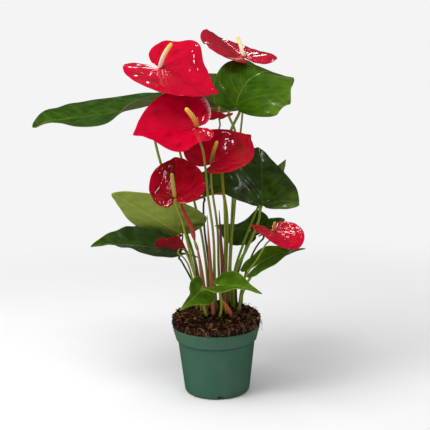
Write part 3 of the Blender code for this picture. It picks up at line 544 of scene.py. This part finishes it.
# A blade: its surface in its place, relief along the surface's own direction, and a second face
# under it at the blade's thickness, which rounds off to nothing at the margin
def makeBlade(node, spec, seed):
    length = spec["length"] * mm
    columns = int(np.clip(spec["columnsPerMm"] * spec["length"], *spec["columns"]))
    rows = spec["rows"]
    u = np.linspace(-1, 1, columns + 1)
    v = np.concatenate([np.linspace(0, 0.965, rows - 2), [0.985, 1.0]])  # closer rows at the margin
    u, v = np.meshgrid(u, v)
    points, up, x, y, radius = bladeSurface(spec, u, v)

    # The face's own direction, from the two grid directions
    normal = np.cross(np.gradient(points, axis=1), np.gradient(points, axis=0))
    size = np.linalg.norm(normal, axis=-1, keepdims=True)
    normal = np.where(size > 1e-12, normal / np.maximum(size, 1e-12), up)
    normal[0] = up

    # Put it in its place: the box of the plain blade on the middle of the CAD piece's box
    low, high = [np.array(corner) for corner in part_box(node)]
    plain = bladeSurface(spec, u, v, plain=True)[0]
    both = np.stack([plain, plain - spec["thickness"] * normal]).reshape(-1, 3)
    points = points + 0.5 * (low + high) - 0.5 * (both.min(axis=0) + both.max(axis=0))

    # Relief: pillows of flesh between the veins, a groove along the midrib, a slightly wavy margin
    flat = np.stack([x, y], axis=-1)
    edge = np.minimum((1 - v) * radius, (1 - np.abs(u)) * 1.9 * v * radius)  # from the margin or the notch
    number = veinField(spec, x, y, length) + spec["veinWander"] * ripple(flat, 0.3 * length, seed)
    spacing = length / spec["veins"]
    cross = np.abs(x) / (0.9 * spacing) + 0.5 * np.floor(number)  # staggered from one gap to the next
    cross = cross + spec["crossWander"] * ripple(flat, 0.2 * length, seed + 1)
    pillow = np.abs(np.sin(np.pi * number)) ** 0.7  # full between two veins, creased at each
    cushion = np.abs(np.sin(np.pi * cross)) ** 0.6
    swell = pillow * (1 - spec["cushioned"] + spec["cushioned"] * cushion)
    swell = swell * (1 + 0.5 * ripple(flat, 0.3 * length, seed + 2))
    ahead = smoothStep(0.0, 0.06, y / length)  # only in front of the stalk
    groove = np.exp(-(x / (1.3 * mm)) ** 2) * ahead * (1 - smoothStep(0.8, 0.98, y / length))
    inside = smoothStep(0, 0.09 * length, edge)  # flat near the margin
    relief = smoothStep(0, 0.05, v) * (spec["puff"] * mm * swell * inside - spec["groove"] * groove)
    relief = relief + v**4 * spec["marginWave"] * length * ripple(flat, 0.22 * length, seed + 3)
    rounding = np.sqrt(1 - (1 - np.clip(edge / spec["marginRound"], 0, 1)) ** 2)
    top = points + relief[..., None] * normal
    ridge = spec["ridge"] * np.exp(-(x / (1.5 * mm)) ** 2) * ahead * inside
    base = top - ((spec["thickness"] + ridge) * rounding)[..., None] * normal

    # One skin: the two faces share the margin, and a pole each closes them at the stalk
    count, wide = rows - 1, columns + 1
    upper = np.arange(count * wide).reshape(count, wide)
    lower = upper.copy()
    inner = (count - 1) * (wide - 2)
    lower[:-1, 1:-1] = count * wide + np.arange(inner).reshape(count - 1, wide - 2)
    topPole, basePole = count * wide + inner, count * wide + inner + 1
    skin = np.vstack([top[1:].reshape(-1, 3), base[1:-1, 1:-1].reshape(-1, 3), top[:1, 0],
                      top[:1, 0] - spec["thickness"] * normal[:1, 0]])
    fans = np.stack([np.full(columns, topPole), upper[0, 1:], upper[0, :-1]], axis=-1).tolist()
    fans += np.stack([np.full(columns, basePole), lower[0, :-1], lower[0, 1:]], axis=-1).tolist()
    fans += [[topPole, int(upper[0, 0]), basePole], [int(upper[0, -1]), topPole, basePole]]
    faces = gridFaces(upper).tolist() + gridFaces(lower)[:, ::-1].tolist() + fans

    def spread(values):  # the grid's values in the order of the skin's points
        return np.concatenate([values[1:].ravel(), values[1:-1, 1:-1].ravel(), values[:1, 0], values[:1, 0]])

    def patches(which):  # sum of soft spots, each strength * exp(-(off / width)^2), with ragged edges
        total = np.zeros_like(u)
        for middle, width, fromV, toV, strength in spec.get(which, ()):
            total += strength * np.exp(-((u - middle) / width) ** 2) * smoothStep(fromV, toV, v)
        return spread(np.clip(total * (1 + 0.4 * ripple(flat, 0.12 * length, seed + 4)), 0, 1))

    behindStalk = 9.0 * mm  # there is no midrib there
    fields = {"veins": spread(number), "cross": spread(cross),
              "midrib": spread(np.where(y > 0, np.abs(x), behindStalk) / mm), "edge": spread(edge / mm),
              "face": np.concatenate([np.ones(count * wide), np.zeros(inner), [1.0, 0.0]]),
              "puff": spread(swell * inside + (1 - inside) * 0.6),
              "patch": patches("patch"), "sear": patches("sear")}
    newPiece(node, skin, faces, spec["finish"][spec["tone"]], fields)


print("stage: leaves")
for order, (node, spec) in enumerate(leaves.items()):
    makeBlade(node, {**leafWays, **spec}, leafWays["seed"] + 10 * order)
print("stage: spathes")
for order, (node, spec) in enumerate(spathes.items()):
    makeBlade(node, {**spatheWays, **spec}, spatheWays["seed"] + 10 * order)


print("stage: stalks")
stalks = dict(
    rows=72, sides=16, ribs=5, ribDepth=0.035,
    footSwelling=0.22, taper=0.16, petioleNeck=0.3, peduncleNeck=0.12,
    # colours low down, in the middle, high up and in the streaks
    petiole=("#5E5E18", "#748A1C", "#84942A", "#4E6614"),
    peduncle=("#7A6A20", "#8A9028", "#989A36", "#746420"),
    # shaded is a darker copy of the petiole colours: painted shade for the stalks in shadedOnes, which stand
    # in shade under the blades
    shaded=("#3A3A12", "#3E4E16", "#4E6020", "#2C3A0E"),
    shadedOnes=["petiole_inner_back", "petiole_inner_right", "petiole_low_left", "petiole_small_back"],
)


# Grown stalk: satin green skin with fine lengthwise streaks, browner where it leaves the root ball.
# Real streaks are finer than shows, so these are drawn 1.1 mm apart
def stalkMaterial(name, low, middle, high, dark):
    material, add, spot, reading = startMaterial(
        name, {"Roughness": 0.42, "IOR": 1.45, "Coat Weight": 0.2, "Coat Roughness": 0.25}, "along")
    drawn = add("Mapping", {"Vector": spot, "Scale": (1.0, 1.0, 0.08)})
    fine = add("TexNoise", {"Vector": drawn, "Scale": 1 / (1.1 * mm), "Detail": 3.0})
    streak = add("MapRange", {0: fine, 1: 0.48, 2: 0.7, 4: 0.55})
    lower = add("MapRange", {0: reading["along"], 1: 0.0, 2: 0.35}, **eased)
    upper = add("MapRange", {0: reading["along"], 1: 0.3, 2: 1.0}, **eased)
    colour = low
    for share, tone in ((lower, middle), (upper, high), (streak, dark)):
        colour = add("Mix", {0: share, 6: colour, 7: tone}, **asColour)
    bump = add("Bump", {"Height": fine, "Distance": 0.1 * mm, "Strength": 0.5})
    return feedShader(material, {"Base Color": colour, "Normal": bump})


# A stalk: ribbed rings on the CAD's route; radius * (1 + flare at the foot + swelling under the blade)
def makeStalk(node, material, neckSwelling):
    centres, radii, steps = ringsOf(node)
    share = np.linspace(0, 1, stalks["rows"])
    reach = share * steps[-1]
    flare = stalks["footSwelling"] * np.exp(-((reach - 14 * mm) / (16 * mm)) ** 2)
    flare = flare + stalks["taper"] * (1 - smoothStep(30 * mm, 140 * mm, reach))
    neck = neckSwelling * np.exp(-((reach - steps[-1] + 7 * mm) / (5 * mm)) ** 2)
    girth = np.interp(reach, steps, radii) * (1 + flare + neck)
    ribs = 1 + stalks["ribDepth"] * np.sin(stalks["ribs"] * roundAngles(stalks["sides"]) + 1.0)
    points, faces, along = rodSkin(smoothThrough(steps, centres, reach), girth[:, None] * ribs, share)
    newPiece(node, points, faces, material, {"along": along})


petioleSkin = stalkMaterial("grownPetiole", *stalks["petiole"])
shadedSkin = stalkMaterial("grownPetioleShaded", *stalks["shaded"])
peduncleSkin = stalkMaterial("grownPeduncle", *stalks["peduncle"])
for node in sorted(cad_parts):
    if node.startswith("petiole_"):
        skin = shadedSkin if node in stalks["shadedOnes"] else petioleSkin
        makeStalk(node, skin, stalks["petioleNeck"])
    if node.startswith("peduncle_"):
        makeStalk(node, peduncleSkin, stalks["peduncleNeck"])
makeStalk("stalk_bud", peduncleSkin, 0.0)


print("stage: spadices")
# florets is how many go round it, lines how many lines of them lie in each pitch along it
spadixWays = dict(rows=110, sides=60, florets=9, lines=26, pitch=40 * mm, depth=0.055, seam="#8A6420")
# Colours from the foot to the tip
spadixTones = {
    "spadix_upper_left": ["#EFDDBC", "#F4E4C0", "#F3DC94", "#F2C42C"],
    "spadix_top_right": ["#F4EAC8", "#F8EFCC", "#F6E6AC", "#EED060"],
    "spadix_front": ["#BE8630", "#DC9E3C", "#EDB64A", "#F2C850"],
    "spadix_behind": ["#B79A3C", "#C9AF4A", "#D5BE55", "#C9AA40"],
    "spadix_middle": ["#7E6E22", "#8E7E28", "#A8902C", "#E4B830"],
    "spadix_lower_left": ["#B8A044", "#AC9E42", "#A89A40", "#9E9040"],
    "spadix_small_right": ["#B89C3C", "#C8AE48", "#C8AE48", "#B89A3C"],
    "spadix_withered": ["#5A3A20", "#6B4726", "#7A5229", "#4A2E18"],
}


# Fleshy spadix, grown: waxy florets in a diamond lattice, darker in the seams between them. Pollen is
# far finer than shows, so its grain is drawn 0.4 mm wide
def spadixMaterial(name, tones):
    material, add, spot, reading = startMaterial(
        name, {"Roughness": 0.48, "IOR": 1.44, "Coat Weight": 0.15, "Coat Roughness": 0.3}, "along", "floret")
    colour = tones[0]
    for step, tone in enumerate(tones[1:]):
        share = add("MapRange", {0: reading["along"], 1: step / 3, 2: (step + 1) / 3})
        colour = add("Mix", {0: share, 6: colour, 7: tone}, **asColour)
    seam = add("MapRange", {0: reading["floret"], 1: 0.0, 2: 0.5, 3: 0.35, 4: 0.0}, **eased)
    colour = add("Mix", {0: seam, 6: colour, 7: spadixWays["seam"]}, **asColour)
    pollen = add("TexNoise", {"Vector": spot, "Scale": 1 / (0.4 * mm), "Detail": 2.0})
    bump = add("Bump", {"Height": pollen, "Distance": 0.08 * mm, "Strength": 0.4})
    return feedShader(material, {"Base Color": colour, "Normal": bump})


# A spadix: rings on the CAD's axis, radius * (1 + depth * floret), where a floret is the product of
# two sines that climb left and right round the axis, and the tip is a half ball
for node, tones in spadixTones.items():
    centres, radii, steps = ringsOf(node, upright=False)
    share = np.sin(0.5 * np.pi * np.linspace(0, 1, spadixWays["rows"]) ** 0.9)
    fullness = np.interp(share, [0, 0.04, 0.12, 0.35, 0.65, 0.93], [0.6, 0.85, 0.97, 1, 0.95, 0.85])
    blunt = 1.15 * radii.max() / steps[-1]
    ball = np.sqrt(np.clip(1 - (np.clip(share - 1 + blunt, 0, 1) / blunt) ** 2, 0.02, 1))
    girth = radii.max() * fullness * ball
    turn = 0.5 * spadixWays["florets"] * roundAngles(spadixWays["sides"])[None]
    climb = np.pi * spadixWays["lines"] * share[:, None] * steps[-1] / spadixWays["pitch"]
    floret = np.abs(np.sin(turn + climb) * np.sin(turn - climb)) ** 0.5
    radii = girth[:, None] * (1 + spadixWays["depth"] * (floret - 0.5))
    points, faces, along = rodSkin(smoothThrough(steps, centres, share * steps[-1]), radii, share)
    material = spadixMaterial("fleshy-" + node.replace("_", "-"), tones)
    fields = {"along": along, "floret": np.concatenate([floret.ravel(), [1, 1]])}
    newPiece(node, points, faces, material, fields)


print("stage: bud, sheaths and shoots")


# Papery or fleshy sheath, grown: long fibres that show as streaks, paler and drier to the tip. Real
# fibres are finer than shows, so these are drawn 1.3 mm apart
def sheathMaterial(name, low, high, dark, roughness):
    material, add, spot, reading = startMaterial(
        name, {"Roughness": roughness, "IOR": 1.45}, "along", "crease")
    drawn = add("Mapping", {"Vector": spot, "Scale": (1.0, 1.0, 0.1)})
    fine = add("TexNoise", {"Vector": drawn, "Scale": 1 / (1.3 * mm), "Detail": 4.0})
    streak = add("MapRange", {0: fine, 1: 0.42, 2: 0.7, 4: 0.8})
    # Painted shade: near-black along the wrap's edge, where the outer layer shades the one under it
    fold = add("MapRange", {0: reading["crease"], 1: 0.0, 2: 1.0, 3: 0.5, 4: 0.0})
    colour = low
    for share, tone in ((reading["along"], high), (streak, dark), (fold, "#2E140C")):
        colour = add("Mix", {0: share, 6: colour, 7: tone}, **asColour)
    bump = add("Bump", {"Height": fine, "Distance": 0.25 * mm, "Strength": 0.7})
    return feedShader(material, {"Base Color": colour, "Normal": bump})


# Slim pieces: how flat the section is, ridges round it and their depth, the wrap's step and twist;
# finish is the material's name, its colour low down, high up and in the streaks, and its roughness
slimPieces = {
    "flower_bud": dict(flat=1.0, ridges=0, depth=0.0, wrap=0.16, twist=0.55, slot="spathe",
                       finish=("rolledSpatheBud", "#A8503A", "#B00E26", "#8A0A1C", 0.25)),
    "sheath_left": dict(flat=0.8, ridges=7, depth=0.07, wrap=0.14, twist=0.3,
                        finish=("paperySheathPink", "#8E5232", "#B0704E", "#7A4028", 0.5)),
    "sheath_middle": dict(flat=0.75, ridges=6, depth=0.08, wrap=0.14, twist=0.35,
                          finish=("paperySheathTan", "#96582F", "#B4744E", "#7E4426", 0.5)),
    "sheath_right": dict(flat=0.8, ridges=7, depth=0.08, wrap=0.14, twist=0.3,
                         finish=("paperySheathRed", "#8C4E2E", "#7E3C26", "#5E2C1C", 0.5)),
    "sheath_dry": dict(flat=0.7, ridges=8, depth=0.12, wrap=0.15, twist=0.4,
                       finish=("drySheathOrange", "#A85A20", "#CC7228", "#7A4218", 0.6)),
    "young_shoot": dict(flat=0.9, ridges=5, depth=0.05, wrap=0.12, twist=0.3, slot="petiole",
                        finish=("youngShootGreen", "#7A5A30", "#8C8A3C", "#6A4A2A", 0.45)),
    "old_stub": dict(flat=1.0, ridges=9, depth=0.08, wrap=0.0, twist=0.0, slot="petiole",
                     finish=("driedStubBrown", "#4A3018", "#7A5A34", "#3A2412", 0.7)),
}
slimWays = dict(rows=80, sides=48, slot="dry_sheath")
# In words: radius * (1 + depth * sin(ridges round) + a step that falls off once round and climbs)
for node, spec in slimPieces.items():
    spec = {**slimWays, **spec}
    centres, radii, steps = ringsOf(node)
    share = np.linspace(0, 1, spec["rows"])
    turn = roundAngles(spec["sides"])[None]
    wound = (turn / (2 * np.pi) + 0.25 + spec["twist"] * share[:, None]) % 1.0
    step = smoothStep(0, 0.06, wound) * (1 - wound)
    ridge = np.sin(spec["ridges"] * turn + 3 * share[:, None])
    girth = smoothThrough(steps, radii, share * steps[-1])
    radii = girth[:, None] * (1 + spec["depth"] * ridge + spec["wrap"] * (step - 0.5))
    path = smoothThrough(steps, centres, share * steps[-1])
    points, faces, along = rodSkin(path, radii, share, spec["flat"])
    crease = np.concatenate([smoothStep(0, 0.08, np.minimum(wound, 1 - wound)).ravel(), [1, 1]])
    newPiece(node, points, faces, sheathMaterial(*spec["finish"]), {"along": along, "crease": crease})


print("stage: pot")
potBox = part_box("pot")
rimRadius, potHeight = potBox[1].x, potBox[1].z
pot = dict(
    collarFoot=0.9291, bodyTop=0.8882, base=0.7559,  # radii as shares of the rim's
    collarHeight=20.5 * mm,
    baseRound=5 * mm, wall=2 * mm, floor=2.4 * mm, footRing=5 * mm, recess=1.2 * mm, pad=14 * mm,
    sides=384, notches=4, firstNotch=-85, notchWidth=10 * mm, notchHeight=5 * mm,
    # Of these, the collar's lighter green is painted light, and the darkest green and the near-black are
    # painted shade under the collar and in the drain notches
    plastic="#38644E", collarPlasticLit="#3E6852", dust="#7A8F80", collarShade="#16261C", shadedPeat="#0C0906",
)

collarZ = potHeight - pot["collarHeight"]
collarR, topR, baseR = [pot[key] * rimRadius for key in ("collarFoot", "bodyTop", "base")]


# Polypropylene, injection moulded: even satin green with a moulded grain and dry water marks. The
# real grain is finer than shows, so it is drawn 0.8 mm wide
def potMaterial():
    material, add, spot, _ = startMaterial("mouldedPolypropylene", {"Roughness": 0.46, "IOR": 1.49})
    cloud = add("TexNoise", {"Vector": spot, "Scale": 1 / (35 * mm), "Detail": 4.0})
    marks = add("MapRange", {0: cloud, 1: 0.5, 2: 0.75, 4: 0.1})
    height = add("SeparateXYZ", {0: spot}, out=2)
    flat = add("VectorMath", {0: spot, 1: (1, 1, 0)}, operation="MULTIPLY")
    reach = add("VectorMath", {0: flat}, out=1, operation="LENGTH")
    # The collar is the same plastic in a lighter green: painted light on the collar
    collar = add("MapRange", {0: height, 1: collarZ - 1.5 * mm, 2: collarZ + 2.5 * mm})

    # Painted shade: a dark band under the collar, and near-black for the peat inside the drain notches,
    # which lies in shade
    below = add("MapRange", {0: height, 1: collarZ - 3.2 * mm, 2: collarZ - 0.8 * mm, 4: 0.6})
    above = add("MapRange", {
        0: height, 1: collarZ - 0.3 * mm, 2: collarZ + 0.2 * mm, 3: 1.0, 4: 0.0})
    line = add("Math", {0: below, 1: above}, operation="MULTIPLY")
    innerR, notchTop = baseR - pot["wall"], pot["notchHeight"] + 0.6 * mm
    inward = add("MapRange", {0: reach, 1: innerR, 2: innerR + 0.4 * mm, 3: 1.0, 4: 0.0})
    raised = add("MapRange", {0: height, 1: pot["recess"] + 0.1 * mm, 2: pot["recess"] + 0.4 * mm})
    lowDown = add("MapRange", {0: height, 1: notchTop, 2: notchTop + 0.4 * mm, 3: 1.0, 4: 0.0})
    hole = add("Math", {0: inward, 1: raised}, operation="MULTIPLY")
    hole = add("Math", {0: hole, 1: lowDown}, operation="MULTIPLY")
    colour = pot["plastic"]
    for share, tone in ((collar, "collarPlasticLit"), (marks, "dust"), (line, "collarShade"), (hole, "shadedPeat")):
        colour = add("Mix", {0: share, 6: colour, 7: pot[tone]}, **asColour)
    sheen = add("MapRange", {0: cloud, 1: 0.3, 2: 0.7, 3: 0.4, 4: 0.52})
    grain = add("TexNoise", {"Vector": spot, "Scale": 1 / (0.8 * mm), "Detail": 2.0})
    bump = add("Bump", {"Height": grain, "Distance": 0.05 * mm, "Strength": 0.4})
    return feedShader(material, {"Base Color": colour, "Roughness": sheen, "Normal": bump})


# Half a section from the middle of the underside, out, up, over the rim and down to the inner floor
corner = np.radians(np.linspace(90, 0, 7))
ringInside = baseR - pot["baseRound"] - pot["footRing"]
bodyLine = np.linspace(0, 1, 16)[1:]
collarLine = np.linspace(0, 1, 8)[1:]
section = [(pot["pad"], 0), (pot["pad"] + 1 * mm, pot["recess"]), (ringInside - 1 * mm, pot["recess"]),
           (ringInside, 0)]
section += [(baseR - pot["baseRound"] * (1 - np.cos(a)), pot["baseRound"] * (1 - np.sin(a))) for a in corner]
section += [(baseR + (topR - baseR) * s, pot["baseRound"] + (collarZ - 0.8 * mm - pot["baseRound"]) * s)
            for s in bodyLine]
section += [(topR + 0.6 * mm, collarZ - 0.5 * mm), (collarR - 0.5 * mm, collarZ - 0.1 * mm),
            (collarR, collarZ + 0.4 * mm)]
section += [(collarR + (rimRadius - 0.3 * mm - collarR) * s, collarZ + (pot["collarHeight"] - 3.4 * mm) * s)
            for s in collarLine]
lipIn = np.array([0, 0, 0.15, 0.5, 1.4, 2.4, 3.2]) * mm
lipDown = np.array([2.2, 1.4, 0.7, 0.25, 0, 0.6, 3]) * mm
section += list(zip(rimRadius - lipIn, potHeight - lipDown))
section += [(collarR - pot["wall"], collarZ + 2 * mm), (topR - pot["wall"], collarZ),
            (baseR - pot["wall"], 7 * mm), (baseR - 4 * mm, pot["recess"] + pot["floor"])]
section = np.array(section)
turn = roundAngles(pot["sides"])
# Notches: near each quarter turn, the foot is lifted to the notch's square top, all but the inner floor
quarter = 2 * np.pi / pot["notches"]
offset = (turn - np.radians(pot["firstNotch"]) + quarter / 2) % quarter - quarter / 2
arch = pot["notchHeight"] * np.sqrt(np.clip(1 - (offset * baseR / (0.5 * pot["notchWidth"])) ** 8, 0, 1))
radius = np.repeat(section[:, :1], pot["sides"], axis=1)
height = np.repeat(section[:, 1:], pot["sides"], axis=1)
lift = arch[None] * smoothStep(baseR - 12 * mm, baseR - 7 * mm, radius)
height[:-1] = np.maximum(height, lift)[:-1]
rings = np.stack([*turned(radius, 0, turn), height], axis=-1)
points, faces = ringSkin(rings, [[0, 0, 0]], [[0, 0, pot["recess"] + pot["floor"]]])
newPiece("pot", points, faces, potMaterial(), {}, name="nursery-pot")


print("stage: root ball")
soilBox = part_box("root_ball")
# Lengths are in mm; each pair is the smallest and the largest
soil = dict(
    sides=260, rows=69, bottom=4.2, chips=1400, fibres=1300, rimFibres=170, standing=90, knots=8, seed=31,
    heap=((0, 0), (16, 0), (30, -1), (43, -4), (54, -9), (60.5, -13), (64.2, -18)),  # (reach, height)
    lumps=((17, 1.1), (8, 0.8), (4, 0.5)),  # (width, height)
    chipLength=(3.5, 11), chipWidth=(1.6, 4.6), chipThickness=(0.8, 2.0),
    fibreLength=(5, 20), rimFibreLength=(7, 18), fibreRadius=(0.13, 0.34), standingHeight=(4, 11),
    dark="#160B06", brown="#3A1E10", russet="#74401F", tan="#A06C42", straw="#C8A478",
)
soilTop = soilBox[1].z - 1.3 * mm
soilRadius = 0.5 * (soilBox[1].x - soilBox[0].x) - 0.6 * mm
heapReach, heapDrop = np.array(soil["heap"], float).T * mm


# Height of the heap over a place: its round section and three sizes of lump
def heapHeight(places):
    height = soilTop - 0.8 * mm + np.interp(np.linalg.norm(places, axis=-1), heapReach, heapDrop)
    for number, (wide, high) in enumerate(soil["lumps"]):
        height = height + high * mm * ripple(places, wide * mm, soil["seed"] + number)
    return height


# Composted bark and peat, loose: matt dark crumbs with tan splinters. In words: noise a few mm wide,
# plus each piece's own tint, picks a tone from dark to straw
def barkMaterial(name, roughness, crumbs):
    material, add, spot, reading = startMaterial(
        name, {"Roughness": roughness, "IOR": 1.5, "Specular IOR Level": 0.3}, "tint")
    fine = add("TexNoise", {
        "Vector": spot, "Scale": 1 / (crumbs * mm), "Detail": 5.0, "Roughness": 0.65})
    shift = add("Math", {0: fine, 1: reading["tint"]}, operation="ADD")
    colour = soil["dark"]
    for stop, tone in ((0.75, "brown"), (1.0, "russet"), (1.22, "tan"), (1.42, "straw")):
        share = add("MapRange", {0: shift, 1: stop - 0.22, 2: stop})
        colour = add("Mix", {0: share, 6: colour, 7: soil[tone]}, **asColour)
    bump = add("Bump", {"Height": fine, "Distance": 0.8 * mm, "Strength": 0.9})
    return feedShader(material, {"Base Color": colour, "Normal": bump})


peat = barkMaterial("loosePeatAndBark", roughness=0.95, crumbs=2.0)
chipBark = barkMaterial("splitBarkChips", roughness=0.85, crumbs=3.0)
coir = barkMaterial("drawnRootFibres", roughness=0.8, crumbs=6.0)

turn = roundAngles(soil["sides"])
reach, around = np.meshgrid(np.linspace(0, heapReach[-1], soil["rows"] + 1)[1:], turn, indexing="ij")
places = np.stack(turned(reach, 0, around), axis=-1)
heap = np.concatenate([places, heapHeight(places)[..., None]], axis=-1)[::-1]
# Under the brim and down inside the pot, where nothing shows
bottom = soil["bottom"] * mm
innerShape = np.array([
    (0.5 * (baseR + 20 * mm), bottom), (baseR - 5.5 * mm, bottom), (baseR - 3.8 * mm, bottom + 3 * mm),
    (topR - 3.2 * mm, collarZ), (collarR - 4 * mm, collarZ + 3 * mm),
    (rimRadius - 4.6 * mm, potHeight - 3 * mm), (rimRadius - 3.4 * mm, potHeight + 1 * mm),
    (rimRadius + 0.2 * mm, potHeight + 1.9 * mm), (rimRadius + 1.0 * mm, potHeight + 3.5 * mm)])
innerHeight = np.repeat(innerShape[:, 1:], len(turn), axis=1)
inner = np.stack([*turned(innerShape[:, :1], 0, turn), innerHeight], axis=-1)
inner[-2:, :, 2] += 0.7 * mm * ripple(inner[-2:], 6 * mm, soil["seed"] + 3)
peak = float(heapHeight(np.zeros((1, 2)))[0])
points, faces = ringSkin(np.concatenate([inner, heap]), [[0, 0, bottom]], [[0, 0, peak]])
tint = 0.05 + 0.12 * ripple(points, 9 * mm, soil["seed"] + 4)
newPiece("root_ball", points, faces, peat, {"tint": tint}, name="peat-heap")

# Bark chips: a slab of 12 points with its corners shifted, turned and laid on the heap
count = soil["chips"]
slab = np.array([(x, y, z) for x in (-0.5, 0.0, 0.5) for y in (-0.5, 0.5) for z in (-0.5, 0.5)])
slabFaces = np.array([(0, 1, 3, 2), (8, 10, 11, 9), (0, 4, 5, 1), (4, 8, 9, 5), (2, 3, 7, 6), (6, 7, 11, 10),
                      (0, 2, 6, 4), (4, 6, 10, 8), (1, 5, 7, 3), (5, 9, 11, 7)])
size = mm * np.stack([dice.uniform(*soil[key], count)
                      for key in ("chipLength", "chipWidth", "chipThickness")], axis=-1)
shape = (slab[None] + dice.normal(0, 0.12, (count, 12, 3))) * size[:, None]
heading, pitch = dice.uniform(0, 2 * np.pi, count), dice.normal(0, 0.3, count)
bank = dice.normal(0, 0.45, count)
x, y, z = np.moveaxis(shape, -1, 0)
y, z = turned(y, z, bank[:, None])
x, z = turned(x, z, pitch[:, None])
x, y = turned(x, y, heading[:, None])
spin = dice.uniform(0, 2 * np.pi, count)
reach = (soilRadius - 2.5 * mm) * np.sqrt(dice.uniform(0.02, 1, count))
places = np.stack(turned(reach, 0, spin), axis=-1)
rest = heapHeight(places) + 0.1 * size[:, 2]
points = np.stack([x + places[:, :1], y + places[:, 1:], z + rest[:, None]], axis=-1).reshape(-1, 3)
faces = (slabFaces[None] + len(slab) * np.arange(count)[:, None, None]).reshape(-1, 4).tolist()
tint = np.repeat(np.clip(dice.normal(0.1, 0.28, count), -0.4, 0.8), len(slab))
newPiece(None, points, faces, chipBark, {"tint": tint}, name="bark-chips", smooth=False)

# Fibres: three-sided threads of a few rings, whose height over the heap bows up between the ends. Some
# lie anywhere, some hang over the brim at the front, and some stand up at the back right
count, knots = soil["fibres"] + soil["rimFibres"] + soil["standing"], soil["knots"]
number = np.arange(count)
upright = number >= soil["fibres"] + soil["rimFibres"]
atRim = (number >= soil["fibres"]) & ~upright
front, backRight = -0.5 * np.pi, 0.25 * np.pi
spin = dice.uniform(0, 2 * np.pi, count)
spin = np.where(atRim, dice.normal(front, 1.0, count), spin)
spin = np.where(upright, dice.normal(backRight, 0.7, count), spin)
reach = (soilRadius - 3 * mm) * np.sqrt(dice.uniform(0, 1, count))
reach = np.where(atRim | upright, soilRadius - dice.uniform(0.5, 6, count) * mm, reach)
rimSpan = dice.uniform(*soil["rimFibreLength"], count)
span = np.where(atRim, rimSpan, dice.uniform(*soil["fibreLength"], count)) * mm
aim = np.where(atRim, spin + dice.normal(0, 0.6, count), dice.uniform(0, 2 * np.pi, count))
share = np.linspace(0, 1, knots)[None]
bowed = span[:, None] * dice.uniform(-0.5, 0.5, count)[:, None] * np.sin(np.pi * share)
along = span[:, None] * (share - 0.5) * np.where(upright, 0.35, 1.0)[:, None]
along, bowed = turned(along, bowed, aim[:, None])
x, y = turned(reach, 0, spin)
x, y = x[:, None] + along, y[:, None] + bowed
places = np.stack([x, y], axis=-1)
beyond = np.linalg.norm(places, axis=-1) - (soilRadius - 0.5 * mm)
lift = dice.uniform(0.2, 1.8, count)[:, None] * mm * (0.4 + np.sin(np.pi * share))
standing = np.where(upright, dice.uniform(*soil["standingHeight"], count) * mm, 0.0)
lift = lift + standing[:, None] * share**1.3
z = heapHeight(places) + lift - np.clip(beyond, 0, None) * dice.uniform(0.8, 2.6, count)[:, None]
limit = soilRadius + dice.uniform(1.5, 4.5, count)[:, None] * mm
shrink = np.minimum(1, limit / np.linalg.norm(places, axis=-1))
path = np.stack([x * shrink, y * shrink, z], axis=-1)
thick = dice.uniform(*soil["fibreRadius"], count)[:, None] * mm * (1 - 0.5 * share)
thick = thick * np.where(upright, 0.7, 1.0)[:, None]
threeWays = np.radians([90, 210, 330])[:, None]
ring = np.cos(threeWays) * np.array([0.7, 0.7, 0.0]) + np.sin(threeWays) * np.array([0, 0, 1.0])
points = (path[:, :, None] + thick[..., None, None] * ring).reshape(-1, 3)
numbers = np.arange(count * knots * 3).reshape(count, knots, 3)
numbers = np.concatenate([numbers, numbers[..., :1]], axis=-1)
caps = np.concatenate([numbers[:, 0, 2::-1], numbers[:, -1, :3]]).tolist()
tint = np.repeat(np.clip(dice.normal(0.45, 0.35, count), -0.2, 1.0), knots * 3)
newPiece(None, points, gridFaces(numbers).tolist() + caps, coir, {"tint": tint},
         name="root-fibres")
